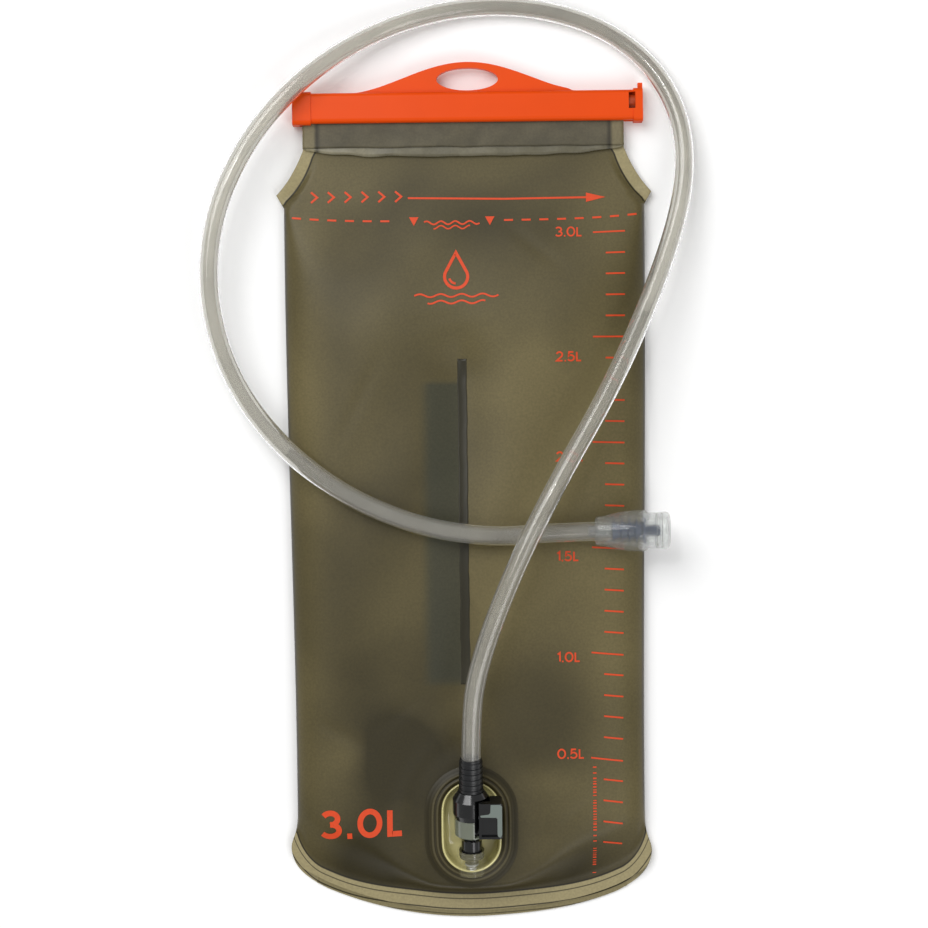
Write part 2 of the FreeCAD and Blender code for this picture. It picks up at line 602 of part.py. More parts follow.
def slider_end_cap():
    """Cap over the bar's left end, which stops against the end of the rail."""
    cap = rounded_bar(BAR_Y - CAP_STEP, BAR_TOP_Y + CAP_STEP, BAR_LOW_Z - CAP_STEP,
                      BAR_HIGH_Z + CAP_STEP, BAR_CORNER, BAR_LEFT, BAR_LEFT + CAP_LENGTH)
    inside = BAR_LEFT + CAP_END_WALL
    bar_end = rounded_bar(BAR_Y, BAR_TOP_Y, BAR_LOW_Z, BAR_HIGH_Z, BAR_CORNER, inside,
                          BAR_LEFT + CAP_LENGTH + 1)
    slot = box(inside, BAR_LEFT + CAP_LENGTH + 1, BAR_Y - 5, BAR_Y + 1,
               CLOSURE_Z - SLOT_HALF, CLOSURE_Z + SLOT_HALF)
    return cap.cut(bar_end).cut(slot).cut(hanger())


# ---- the port ---------------------------------------------------------------
def well_block(grow):
    """Space of the well: a stadium pit whose floor turns up along the plug."""
    top = CROWN_HEIGHT * 2
    ramp_end = PORT_Y + WELL_LENGTH
    floor = WELL_FLOOR_Z - grow
    slope = math.tan(math.radians(PLUG_TILT))
    above = prism_x([(HEM_Y, floor), (WELL_RAMP_Y, floor),
                     (ramp_end, floor + (ramp_end - WELL_RAMP_Y) * slope),
                     (ramp_end, top), (HEM_Y, top)], -FAR, FAR)
    pit = stadium(WELL_WIDTH + 2 * grow, WELL_LENGTH + 2 * grow, PORT_Y, 0, top)
    return pit.common(above)


def socket_space():
    """Outside of the socket, which the well and the film are cut to fit."""
    return on_plug_axis(rod(SOCKET_RADIUS, SOCKET_BACK, SOCKET_MOUTH))


def inlet():
    """Water way through the back of the socket and the wall of the well."""
    return on_plug_axis(rod(INLET_RADIUS, SOCKET_BACK - 6, SOCKET_BACK + SOCKET_FLOOR))


def port_tub():
    """Clear moulding welded into the front film: flange with ridges, and a well."""
    top = PORT_LEVEL + FLANGE_THICKNESS
    flange = stadium(FLANGE_WIDTH, FLANGE_LENGTH, PORT_Y, PORT_LEVEL, top)
    parts = [well_block(WELL_WALL).common(box(-FAR, FAR, -FAR, FAR, 0, PORT_LEVEL))]
    for inset in RIDGE_INSETS:
        ridge = stadium(FLANGE_WIDTH - 2 * inset, FLANGE_LENGTH - 2 * inset, PORT_Y, top,
                        top + RIDGE_HEIGHT)
        inside = stadium(FLANGE_WIDTH - 2 * (inset + RIDGE_WIDTH),
                         FLANGE_LENGTH - 2 * (inset + RIDGE_WIDTH), PORT_Y, top - 1, top + 2)
        parts.append(ridge.cut(inside))
    tub = flange.fuse(parts).cut(well_block(0))
    return tub.cut(socket_space()).cut(inlet())


def port_socket():
    """Clear socket at the foot of the well, with the seat and room for the poppet."""
    body = turned([
        (SOCKET_BACK, INLET_RADIUS), (SOCKET_BACK, SOCKET_RADIUS), (SOCKET_MOUTH, SOCKET_RADIUS),
        (SOCKET_MOUTH, SOCKET_BORE), (SEAT_HIGH, SOCKET_BORE), (SEAT_HIGH, SEAT_HOLE),
        (SEAT_LOW, SEAT_HOLE), (SEAT_LOW, CHAMBER_RADIUS),
        (SOCKET_BACK + SOCKET_FLOOR, CHAMBER_RADIUS), (SOCKET_BACK + SOCKET_FLOOR, INLET_RADIUS),
    ])
    return on_plug_axis(body)


def poppet_heights():
    """Heights along the plug's axis of the poppet's top, seal seat and underside."""
    top = PROBE_TIP - 0.1
    seat = top - 0.7
    return top, seat, seat - 0.8


def shutoff_poppet():
    """Valve head on a stem, held open by the plug."""
    top, seat, under = poppet_heights()
    foot = SOCKET_BACK + SOCKET_FLOOR + 0.2
    return on_plug_axis(turned([
        (foot, 0), (foot, POPPET_STEM_RADIUS), (under, POPPET_STEM_RADIUS),
        (under, POPPET_HEAD_RADIUS), (seat, POPPET_HEAD_RADIUS), (seat, PROBE_RADIUS),
        (top, PROBE_RADIUS), (top, 0)]))


def poppet_seal():
    """Flat rubber ring on the poppet's head."""
    top, seat, under = poppet_heights()
    inner = PROBE_RADIUS + RUNNING_FIT
    return on_plug_axis(turned([(seat, inner), (seat, POPPET_HEAD_RADIUS - 0.1),
                                (top - 0.1, POPPET_HEAD_RADIUS - 0.1), (top - 0.1, inner)]))


def poppet_spring():
    """Coil round the stem, between the socket's floor and the poppet's head."""
    under = poppet_heights()[2]
    floor = SOCKET_BACK + SOCKET_FLOOR
    spring = coil(2.6, 0.3, under - floor, 3)
    spring.translate(Vector(0, 0, floor))
    return on_plug_axis(spring)


# ---- the plug ---------------------------------------------------------------
def barb_profile(start, count):
    """Saw-tooth of hose barbs, each rising away from its tip."""
    points = []
    for i in range(count):
        low = start + i * BARB_PITCH
        points += [(low, BARB_RADIUS), (low + BARB_PITCH, BARB_ROOT)]
    return points


def spring_pocket():
    """Round pocket in the core that holds the button's spring."""
    pocket = Part.makeCylinder(BUTTON_SPRING_RADIUS + BUTTON_SPRING_WIRE + 0.15, BUTTON_INNER_X,
                               Vector(FLOW_BORE + 1.0, -BUTTON_SPRING_N, BUTTON_SPRING_S),
                               Vector(1, 0, 0))
    return pocket


def plug_body():
    """Core of the plug: probe, O-ring groove, flange, neck and hose barbs."""
    flange_low = O_RING_CENTRE + O_RING_SECTION
    groove_low = O_RING_CENTRE - O_RING_SECTION
    groove_floor = SOCKET_BORE - RUNNING_FIT - 2 * O_RING_SECTION - RUNNING_FIT
    flange = SOCKET_BORE - RUNNING_FIT
    barbs = barb_profile(CORE_TOP + 1.2, 4)
    top = barbs[-1][0]
    body = turned([
        (PROBE_TIP, FLOW_BORE), (PROBE_TIP, PROBE_RADIUS), (SEAT_HIGH + 0.1, PROBE_RADIUS),
        (SEAT_HIGH + 0.1, flange - 0.25), (groove_low, flange - 0.25), (groove_low, groove_floor),
        (flange_low, groove_floor), (flange_low, flange), (SOCKET_MOUTH - 0.2, flange),
        (SOCKET_MOUTH - 0.2, NECK_RADIUS), (SHROUD_LOW - 2.7, NECK_RADIUS),
        (SHROUD_LOW - 0.4, CORE_RADIUS + 0.85), (SHROUD_LOW - 0.1, CORE_RADIUS + 0.85),
        (SHROUD_LOW - 0.1, CORE_RADIUS), (CORE_TOP, CORE_RADIUS), (CORE_TOP, BARB_ROOT),
        *barbs, (top, FLOW_BORE),
    ])
    notch = box(-0.45, 0.45, -FAR, FAR, PROBE_TIP - 1, PROBE_TIP + 1.2)
    return on_plug_axis(body.cut(notch).cut(spring_pocket()))


def plug_o_ring():
    """O-ring that seals the plug in the socket."""
    major = SOCKET_BORE - RUNNING_FIT - O_RING_SECTION
    return on_plug_axis(Part.makeTorus(major, O_RING_SECTION - 0.02, Vector(0, 0, O_RING_CENTRE)))


def button_room():
    """Space that the release button needs in the shroud and the collar."""
    play = 0.4
    corner = box(BUTTON_SADDLE_X - BUTTON_TRAVEL - play, FAR, -FAR, -BUTTON_BOTTOM + play,
                 BUTTON_LOW - play, BUTTON_HIGH + play)
    return corner


def plug_shroud():
    """Smoke-tinted sleeve round the core, below the collar."""
    inner = CORE_RADIUS + ASSEMBLY_GAP
    sleeve = turned([(SHROUD_LOW, inner), (SHROUD_LOW, SHROUD_RADIUS - 0.6),
                     (SHROUD_LOW + 0.6, SHROUD_RADIUS), (SHROUD_HIGH, SHROUD_RADIUS),
                     (SHROUD_HIGH, inner)])
    return on_plug_axis(sleeve.cut(button_room()))


def plug_collar():
    """Black collar above the shroud, with the cone that the strain relief leaves."""
    inner = CORE_RADIUS + ASSEMBLY_GAP
    hose = HOSE_RADIUS + ASSEMBLY_GAP
    low = SHROUD_HIGH + 0.1
    ring = turned([
        (low, inner), (low, SHROUD_RADIUS), (low + 2.6, COLLAR_RADIUS),
        (COLLAR_TOP - 3.9, COLLAR_RADIUS), (COLLAR_TOP, RELIEF_FOOT_RADIUS + 0.9),
        (COLLAR_TOP, hose), (CORE_TOP + 0.1, hose), (CORE_TOP + 0.1, inner)])
    return on_plug_axis(ring.cut(button_room()))


def strain_relief():
    """Ribbed rubber sleeve where the hose leaves the plug."""
    inner, low = HOSE_RADIUS + ASSEMBLY_GAP, COLLAR_TOP + 0.1
    pitch = (RELIEF_TOP - low) / RELIEF_RIB_COUNT
    outline = [(low, inner)]
    for i in range(RELIEF_RIB_COUNT):
        s = low + i * pitch
        share = i / (RELIEF_RIB_COUNT - 1)
        root = RELIEF_FOOT_RADIUS + (RELIEF_TIP_RADIUS - RELIEF_FOOT_RADIUS) * share
        outline += [(s, root + RELIEF_RIB), (s + pitch * 0.5, root + RELIEF_RIB),
                    (s + pitch * 0.6, root), (s + pitch * 0.9, root)]
    outline += [(RELIEF_TOP, RELIEF_TIP_RADIUS), (RELIEF_TOP, inner)]
    return on_plug_axis(turned(outline))


def release_button():
    """Thumb button: a block beside the plug, with a saddle over its top."""
    side = box(BUTTON_INNER_X, BUTTON_OUTER_X, -BUTTON_TOP, -BUTTON_BOTTOM, BUTTON_LOW, BUTTON_HIGH)
    saddle_base = CORE_RADIUS + 0.7
    saddle = box(BUTTON_SADDLE_X, BUTTON_OUTER_X, -BUTTON_TOP, -saddle_base, BUTTON_LOW, BUTTON_HIGH)
    block = side.fuse(saddle).removeSplitter()
    corners = [e for e in block.Edges
               if all(abs(v.X - BUTTON_OUTER_X) < 1e-6 for v in e.Vertexes)]
    block = block.makeFillet(1.2, corners)
    recess = box(BUTTON_SADDLE_X + 1.2, BUTTON_OUTER_X - 2.4, -FAR, -BUTTON_TOP + 1.4,
                 BUTTON_LOW + 1.2, BUTTON_LOW + 10)
    return on_plug_axis(block.cut(recess))


def button_spring():
    """Spring that pushes the button out again."""
    start = FLOW_BORE + 1.0
    spring = coil(BUTTON_SPRING_RADIUS, BUTTON_SPRING_WIRE, BUTTON_INNER_X - start, 6)
    spring.rotate(Vector(0, 0, 0), Vector(0, 1, 0), 90)
    spring.translate(Vector(start, -BUTTON_SPRING_N, BUTTON_SPRING_S))
    return on_plug_axis(spring)


# ---- the hose and the bite valve --------------------------------------------
def route_shift(y):
    """How far the route moves along the bag at y when the bag's length changes."""
    share = max(-1.0, min(1.0, y / ROUTE_MIDDLE))
    return (TOTAL_LENGTH - ROUTE_LENGTH) / 2 * share


def route_points():
    """Corners of the hose's route: straight out of the plug, and into the valve."""
    tilt = math.radians(PLUG_TILT)
    start = PLUG_ORIGIN + Vector(0, math.cos(tilt), math.sin(tilt)) * HOSE_START
    end = Vector(VALVE_HOSE_END, VALVE_Y + route_shift(VALVE_Y), VALVE_Z)
    wider = BODY_WIDTH / ROUTE_WIDTH
    route = [Vector(x * wider, y + route_shift(y), z) for x, y, z in HOSE_ROUTE]
    return [start] + route + [end]


def route_wire(report=False):
    """Straight runs joined by tangent arcs, as large as the runs allow."""
    points = route_points()
    edges, here = [], points[0]
    for before, corner, after in zip(points, points[1:], points[2:]):
        back, ahead = before - corner, after - corner
        turn = math.pi - back.getAngle(ahead)
        setback = 0.45 * min(back.Length, ahead.Length)
        enter = corner + back.normalize() * setback
        leave = corner + ahead.normalize() * setback
        radius = setback / math.tan(turn / 2)
        toward = (back + ahead).normalize()
        middle = corner + toward * (radius / math.cos(turn / 2) - radius)
        if report:
            print("hose bend at", tuple(round(c) for c in corner), "radius", round(radius, 1))
        edges.append(Part.LineSegment(here, enter).toShape())
        edges.append(Part.Arc(enter, middle, leave).toShape())
        here = leave
    edges.append(Part.LineSegment(here, points[-1]).toShape())
    return Part.Wire(edges)


def drink_hose():
    """Drinking hose: a round tube along its route."""
    path = route_wire(report=True)
    heading = path.Edges[0].tangentAt(path.Edges[0].FirstParameter)
    start = path.Edges[0].valueAt(path.Edges[0].FirstParameter)

    def swept(radius):
        section = Part.Wire(Part.makeCircle(radius, start, heading))
        return path.makePipeShell([section], True, False)

    tube = swept(HOSE_RADIUS).cut(swept(HOSE_BORE))
    area = math.pi * (HOSE_RADIUS ** 2 - HOSE_BORE ** 2)
    print("hose length", round(path.Length, 1), "volume over section x length",
          round(tube.Volume / (area * path.Length), 4))
    return tube


def bite_insert():
    """Barbed core that joins the hose to the bite valve, ending in a stopper stem."""
    barbs = [(2 * VALVE_HOSE_END - s, r) for s, r in barb_profile(VALVE_HOSE_END + 0.6, 3)]
    tip = barbs[-1][0]
    flange = VALVE_HOSE_END + 0.2
    rib_low, rib_high = 4.3, 5.5
    outline = [(tip, FLOW_BORE)] + barbs[::-1] + [
        (flange, BARB_ROOT), (flange, 5.0), (flange + 1.4, 5.0), (flange + 1.4, rib_low)]
    pitch = (VALVE_SHOULDER - 1.6 - flange - 3.4) / 3
    for i in range(3):
        s = flange + 3.4 + i * pitch
        outline += [(s, rib_low), (s + 1.0, rib_high), (s + 1.8, rib_high), (s + 1.8, rib_low)]
    outline += [
        (VALVE_SHOULDER - 1.4, rib_low), (VALVE_SHOULDER - 0.8, 6.1), (VALVE_SHOULDER + 0.8, 6.1),
        (VALVE_SHOULDER + 0.8, STEM_RADIUS), (VALVE_END - 4.6, STEM_RADIUS),
        (VALVE_END - 3.6, STEM_RADIUS - 1), (VALVE_END - 3.6, 0), (VALVE_END - 5.6, 0),
        (VALVE_END - 5.6, FLOW_BORE)]
    core = turned(outline)
    port = Part.makeCylinder(1.0, 2 * FAR, Vector(0, -FAR, VALVE_END - 7.5), Vector(0, 1, 0))
    return on_valve_axis(core.cut(port))


def bite_valve():
    """Silicone sheath over the insert, with a slit across its end."""
    hose = HOSE_RADIUS + ASSEMBLY_GAP
    sheath = turned([
        (VALVE_START, hose), (VALVE_START, VALVE_COLLAR_RADIUS),
        (VALVE_START + 2, VALVE_COLLAR_RADIUS + 0.2), (VALVE_SHOULDER - 0.6, VALVE_SKIRT_RADIUS),
        (VALVE_SHOULDER + 0.5, VALVE_SKIRT_RADIUS), (VALVE_SHOULDER + 0.9, VALVE_TIP_RADIUS),
        (VALVE_END - 3.2, VALVE_TIP_RADIUS), (VALVE_END - 1.2, VALVE_TIP_RADIUS - 0.9),
        (VALVE_END, VALVE_TIP_RADIUS - 2.6), (VALVE_END, 0), (VALVE_END - 2.6, 0),
        (VALVE_END - 2.6, VALVE_TIP_RADIUS - VALVE_WALL - 2),
        (VALVE_END - 4.2, VALVE_TIP_RADIUS - VALVE_WALL),
        (VALVE_SHOULDER + 1.2, VALVE_TIP_RADIUS - VALVE_WALL), (VALVE_SHOULDER + 1.2, 6.2),
        (VALVE_SHOULDER - 1.2, 6.2), (VALVE_SHOULDER - 1.8, 5.6), (VALVE_HOSE_END + 0.1, 5.6),
        (VALVE_HOSE_END + 0.1, hose)])
    slit = box(-SLIT_WIDTH / 2, SLIT_WIDTH / 2, -SLIT_LENGTH / 2, SLIT_LENGTH / 2,
               VALVE_END - 3.5, VALVE_END + 1)
    return on_valve_axis(sheath.cut(slit))


PIECES = (
    rear_panel, front_panel, bottom_gusset, baffle_web, neck_fold, fold_rail,
    slider_bar, slider_end_cap, port_tub, port_socket, shutoff_poppet, poppet_seal,
    poppet_spring, plug_body, plug_o_ring, plug_shroud, plug_collar, strain_relief,
    release_button, button_spring, drink_hose, bite_insert, bite_valve,
)


def main():
    """Build every piece and write each one to its own file."""
    os.makedirs("parts", exist_ok=True)
    for make in PIECES:
        shape = make()
        state = "valid" if shape.isValid() else "NOT VALID"
        print(make.__name__, state, "solids", len(shape.Solids), "volume", round(shape.Volume, 1))
        shape.exportStep("parts/" + make.__name__ + ".step")


main()
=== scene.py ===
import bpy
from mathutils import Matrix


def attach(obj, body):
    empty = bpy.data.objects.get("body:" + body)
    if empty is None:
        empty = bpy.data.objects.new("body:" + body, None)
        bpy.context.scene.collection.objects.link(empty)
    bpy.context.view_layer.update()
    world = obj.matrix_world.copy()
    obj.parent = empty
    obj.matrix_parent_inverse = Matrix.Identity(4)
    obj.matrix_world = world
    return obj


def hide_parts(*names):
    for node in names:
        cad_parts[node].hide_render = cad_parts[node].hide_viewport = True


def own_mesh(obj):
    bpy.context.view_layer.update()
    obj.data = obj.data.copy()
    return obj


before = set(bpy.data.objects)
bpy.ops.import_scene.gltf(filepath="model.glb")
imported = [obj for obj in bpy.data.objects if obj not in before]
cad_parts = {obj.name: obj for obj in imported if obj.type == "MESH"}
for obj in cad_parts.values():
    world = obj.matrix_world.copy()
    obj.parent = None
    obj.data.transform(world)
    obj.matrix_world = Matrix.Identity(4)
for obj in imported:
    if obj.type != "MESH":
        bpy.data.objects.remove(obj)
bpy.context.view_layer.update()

import logging
import math
from dataclasses import dataclass
from enum import Enum
from typing import Any, Callable, Sequence

import bpy
import numpy as np
from mathutils import Vector

LOG = logging.getLogger("hydration_bladder")
MM = 0.001
FAR = 60.0              # added to a distance, in mm, to put a place out of a seam's reach
HEM_FAR = 30.0          # depth from the hem's weld, in mm, beyond which the films don't mark it
RESERVOIR, HOSE_PLUG, BUTTON = "reservoir", "hose_plug", "button"


# ---- small tools ------------------------------------------------------------
def linear(hex_colour: str) -> tuple[float, float, float, float]:
    """Turn an sRGB hex colour into linear RGBA.

    Args:
        hex_colour: Colour written as "#RRGGBB".

    Returns:
        Linear red, green, blue and an alpha of one.
    """
    channels = [int(hex_colour[i:i + 2], 16) / 255 for i in (1, 3, 5)]
    red, green, blue = (c / 12.92 if c <= 0.04045 else ((c + 0.055) / 1.055) ** 2.4
                        for c in channels)
    return red, green, blue, 1.0


def add_node(tree: bpy.types.NodeTree, kind: str, settings: dict[Any, Any] | None = None,
             links: dict[Any, bpy.types.NodeSocket] | None = None) -> bpy.types.Node:
    """Add one shader node with its settings and the links into it.

    Args:
        tree: Node tree of the material.
        kind: Blender's type name of the node.
        settings: Values of sockets, by name or number, or of the node's own properties.
        links: Sockets of other nodes that feed this node's sockets.

    Returns:
        The new node.
    """
    made = tree.nodes.new(kind)
    for key, value in (settings or {}).items():
        if isinstance(key, str) and hasattr(made, key):
            setattr(made, key, value)
        else:
            made.inputs[key].default_value = value
    for key, source in (links or {}).items():
        tree.links.new(source, made.inputs[key])
    return made


def smooth_step(low: float, high: float, value: np.ndarray | float) -> np.ndarray:
    """Smooth climb from 0 at low to 1 at high.

    Args:
        low: Value where the climb starts.
        high: Value where it ends, which may be below low.
        value: Where to read it.

    Returns:
        Numbers from 0 to 1.
    """
    share = np.clip((np.asarray(value, float) - low) / (high - low), 0.0, 1.0)
    return share * share * (3 - 2 * share)


def bezier(points: Sequence[tuple[float, float]], steps: int) -> np.ndarray:
    """Points along one Bezier curve.

    Args:
        points: Its control points in the plane.
        steps: Number of parts.

    Returns:
        Array of steps + 1 points.
    """
    share = np.linspace(0, 1, steps + 1)[:, None]
    rows = [np.asarray(p, float)[None, :] + share * 0 for p in points]
    while len(rows) > 1:
        rows = [a + (b - a) * share for a, b in zip(rows, rows[1:])]
    return rows[0]


def grid_faces(rows: int, columns: int, closed: bool = False) -> list[tuple[int, ...]]:
    """Quads of a grid whose points are numbered row by row.

    Args:
        rows: Number of rows of points.
        columns: Points in a row.
        closed: True where each row closes on itself.

    Returns:
        Point numbers of each quad.
    """
    across = columns if closed else columns - 1
    return [(r * columns + c, r * columns + (c + 1) % columns,
             (r + 1) * columns + (c + 1) % columns, (r + 1) * columns + c)
            for r in range(rows - 1) for c in range(across)]


def add_object(name: str, data: bpy.types.ID) -> bpy.types.Object:
    """Make an object and put it in the scene.

    Args:
        name: Its name.
        data: Mesh, camera or lamp that it holds.

    Returns:
        The new object.
    """
    made = bpy.data.objects.new(name, data)
    bpy.context.scene.collection.objects.link(made)
    return made


def add_piece(name: str, points: np.ndarray, faces: list[tuple[int, ...]], body: str,
              material: bpy.types.Material,
              masks: dict[str, np.ndarray] | None = None) -> bpy.types.Object:
    """Make one smooth piece from points in millimetres and let it ride on a body.

    Args:
        name: Name of the piece.
        points: Array of points, in millimetres.
        faces: Point numbers of each face.
        body: Name of the body that carries it.
        material: Its finish.
        masks: Numbers kept at each point for the finish to read.

    Returns:
        The new object.
    """
    mesh = bpy.data.meshes.new(name)
    mesh.from_pydata((np.asarray(points, float).reshape(-1, 3) * MM).tolist(), [], faces)
    for mask, values in (masks or {}).items():
        stored = mesh.attributes.new(mask, "FLOAT", "POINT")
        stored.data.foreach_set("value", np.asarray(values, np.float32).ravel())
    mesh.shade_smooth()
    mesh.materials.append(material)
    piece = add_object(name, mesh)
    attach(piece, body)
    return piece


def thicken(piece: bpy.types.Object, thickness: float, offset: float = -1.0) -> None:
    """Give a sheet its thickness.

    Args:
        piece: The sheet.
        thickness: Thickness in millimetres.
        offset: Side that the thickness goes to, -1 below and 1 above.
    """
    solid = piece.modifiers.new("film thickness", "SOLIDIFY")
    solid.thickness = thickness * MM
    solid.offset = offset


def lathe(profile: Sequence[tuple[float, float]], around: int = 48) -> tuple[np.ndarray, list]:
    """Turn a profile about Z.

    Args:
        profile: Height and radius pairs.
        around: Points in a ring.

    Returns:
        Points and faces.
    """
    turn = np.linspace(0, 2 * math.pi, around, endpoint=False)
    rings = [np.stack([r * np.cos(turn), r * np.sin(turn), 0 * turn + s], 1) for s, r in profile]
    return np.concatenate(rings), grid_faces(len(profile), around, True)


# ---- finishes ---------------------------------------------------------------
@dataclass(frozen=True)
class Finish:
    """What one real material looks like, and how its surface was made."""

    name: str
    colour: str
    roughness: float = 0.5
    ior: float = 1.5
    metallic: float = 0.0
    transmission: float = 0.0
    coat: float = 0.0
    specular: float = 0.5
    alpha: float = 1.0
    grain_mm: float = 0.4
    grain_depth_mm: float = 0.01
    mottle: float = 0.08
    mottle_mm: float = 18.0

    def build(self) -> bpy.types.Material:
        """Make the material once, with its grain, mottling and colour.

        Returns:
            The material.
        """
        if self.name in bpy.data.materials:
            return bpy.data.materials[self.name]
        material = bpy.data.materials.new(self.name)
        material.use_nodes = True
        tree = material.node_tree
        shader = tree.nodes["Principled BSDF"]
        for socket, value in (("IOR", self.ior), ("Metallic", self.metallic),
                              ("Transmission Weight", self.transmission),
                              ("Coat Weight", self.coat), ("Coat Roughness", 0.12),
                              ("Specular IOR Level", self.specular), ("Alpha", self.alpha)):
            shader.inputs[socket].default_value = value
        place = add_node(tree, "ShaderNodeTexCoord").outputs["Object"]
        tree.links.new(self.tint(tree, place), shader.inputs["Base Color"])
        tree.links.new(self.sheen(tree, place), shader.inputs["Roughness"])
        tree.links.new(self.relief(tree, place), shader.inputs["Normal"])
        return material

    def tint(self, tree: bpy.types.NodeTree, place: bpy.types.NodeSocket) -> bpy.types.NodeSocket:
        """Colour with soft mottling.

        Args:
            tree: Node tree of the material.
            place: Coordinates in metres.

        Returns:
            Socket that carries the colour.
        """
        cloud = add_node(tree, "ShaderNodeTexNoise",
                         {"Scale": 1 / (self.mottle_mm * MM), "Detail": 2.0}, {"Vector": place})
        value = add_node(tree, "ShaderNodeMapRange",
                         {"To Min": 1 - self.mottle, "To Max": 1 + self.mottle},
                         {"Value": cloud.outputs["Fac"]})
        shade = add_node(tree, "ShaderNodeHueSaturation", {"Color": linear(self.colour)},
                         {"Value": value.outputs["Result"]})
        return shade.outputs["Color"]

    def sheen(self, tree: bpy.types.NodeTree, place: bpy.types.NodeSocket) -> bpy.types.NodeSocket:
        """Roughness that handling has polished in places.

        Args:
            tree: Node tree of the material.
            place: Coordinates in metres.

        Returns:
            Socket that carries the roughness.
        """
        rubbed = add_node(tree, "ShaderNodeTexNoise", {"Scale": 0.6 / (self.mottle_mm * MM),
                                                       "Detail": 3.0}, {"Vector": place})
        value = add_node(tree, "ShaderNodeMapRange",
                         {"To Min": self.roughness * 0.8, "To Max": self.roughness * 1.2},
                         {"Value": rubbed.outputs["Fac"]})
        return value.outputs["Result"]

    def relief(self, tree: bpy.types.NodeTree, place: bpy.types.NodeSocket) -> bpy.types.NodeSocket:
        """Fine grain that the mould or the rollers left.

        Args:
            tree: Node tree of the material.
            place: Coordinates in metres.

        Returns:
            Socket that carries the normal.
        """
        grain = add_node(tree, "ShaderNodeTexNoise",
                         {"Scale": 1 / (self.grain_mm * MM), "Detail": 2.0}, {"Vector": place})
        bump = add_node(tree, "ShaderNodeBump",
                        {"Strength": 1.0, "Distance": self.grain_depth_mm * MM},
                        {"Height": grain.outputs["Fac"]})
        return bump.outputs["Normal"]


@dataclass(frozen=True)
class CalenderedFilm(Finish):
    """Smoke-tinted thermoplastic polyurethane film, rolled to a satin surface.

    The masks that the mesh carries darken the film where the baffle clings to its back,
    and lighten it in the welds, where heat has pressed two films into one.
    """

    dark: str = "#2E280F"
    baffle: str = "#34362A"
    weld: str = "#988D68"
    # Colour of the dark lines: seams and welds, and painted shade along edges.
    seam_and_shade_line: str = "#1E1A0E"
    # Depth, half width and strength of each dark line along the hem. The third, at the front rim's
    # edge, is partly painted shadow of the rim.
    hem_lines: tuple[tuple[float, float, float], ...] = (
        (0.0, 0.6, 0.95), (-2.6, 0.4, 0.8), (-7.6, 0.5, 0.9), (-10.4, 0.35, 0.7))

    def tint(self, tree: bpy.types.NodeTree, place: bpy.types.NodeSocket) -> bpy.types.NodeSocket:
        """Film colour with cloudy mottling, speckle, painted shade and light, the baffle's shade
        and the welds.

        Args:
            tree: Node tree of the material.
            place: Coordinates in metres.

        Returns:
            Socket that carries the colour.
        """
        cloud = add_node(tree, "ShaderNodeTexNoise",
                         {"Scale": 1 / (self.mottle_mm * MM), "Detail": 1.5, "Distortion": 0.4},
                         {"Vector": place})
        depth = add_node(tree, "ShaderNodeMapRange",
                         {"From Min": 0.32, "From Max": 0.68, "To Min": 0.3, "To Max": 0.76},
                         {"Value": cloud.outputs["Fac"]})
        # The shade mask paints shade on the film, and paints light where it is below 0.
        shade = add_node(tree, "ShaderNodeAttribute", {"attribute_name": "shade"})
        darker = add_node(tree, "ShaderNodeMath", {"operation": "SUBTRACT", "use_clamp": True},
                          {0: depth.outputs["Result"], 1: shade.outputs["Fac"]})
        colour = add_node(tree, "ShaderNodeMixRGB",
                          {"Color1": linear(self.dark), "Color2": linear(self.colour)},
                          {"Fac": darker.outputs[0]}).outputs["Color"]
        speck = add_node(tree, "ShaderNodeTexNoise", {"Scale": 1 / (1.1 * MM), "Detail": 2.0},
                         {"Vector": place})
        fleck = add_node(tree, "ShaderNodeMapRange", {"From Min": 0.3, "From Max": 0.7,
                                                      "To Min": 0.9, "To Max": 1.1},
                         {"Value": speck.outputs["Fac"]})
        web, weld, line = (add_node(tree, "ShaderNodeAttribute", {"attribute_name": mask})
                           .outputs["Fac"] for mask in ("baffle", "weld", "line"))
        hem = add_node(tree, "ShaderNodeAttribute", {"attribute_name": "hem_depth"}).outputs["Fac"]
        band = add_node(tree, "ShaderNodeMapRange",
                        {"From Min": -HEM_FAR - 0.35, "From Max": -HEM_FAR, "To Min": 0.95,
                         "To Max": 0.0}, {"Value": hem}).outputs["Result"]
        weld = add_node(tree, "ShaderNodeMath", {"operation": "MAXIMUM"}, {0: weld, 1: band})
        for inset, width, strength in self.hem_lines:
            away = add_node(tree, "ShaderNodeMath", {"operation": "SUBTRACT", 1: inset - HEM_FAR},
                            {0: hem})
            apart = add_node(tree, "ShaderNodeMath", {"operation": "ABSOLUTE"},
                             {0: away.outputs[0]})
            mark = add_node(tree, "ShaderNodeMapRange",
                            {"From Min": width * 0.35, "From Max": width, "To Min": strength,
                             "To Max": 0.0}, {"Value": apart.outputs[0]})
            line = add_node(tree, "ShaderNodeMath", {"operation": "MAXIMUM"},
                            {0: line, 1: mark.outputs["Result"]}).outputs[0]
        for mask, tone in ((web, self.baffle), (weld.outputs[0], self.weld),
                           (line, self.seam_and_shade_line)):
            colour = add_node(tree, "ShaderNodeMixRGB", {"Color2": linear(tone)},
                              {"Fac": mask, "Color1": colour}).outputs["Color"]
        return add_node(tree, "ShaderNodeHueSaturation", None,
                        {"Value": fleck.outputs["Result"], "Color": colour}).outputs["Color"]


# Polyurethane film 0.6 mm thick, calendered: a satin skin with grain as fine as dust,
# which is drawn at 0.35 mm so that it shows.
FRONT_FILM = CalenderedFilm("tpu film, smoke, calendered", "#665C3A", 0.48, 1.5, specular=0.32,
                            grain_mm=0.35, grain_depth_mm=0.012, mottle_mm=62)
# The same film where two layers lie on each other: the air between them frosts it.
NECK_FILM = CalenderedFilm("tpu film, doubled, frosted", "#5A5440", 0.55, 1.5, specular=0.4,
                           grain_mm=0.6, grain_depth_mm=0.05, mottle_mm=9, dark="#3D3828")
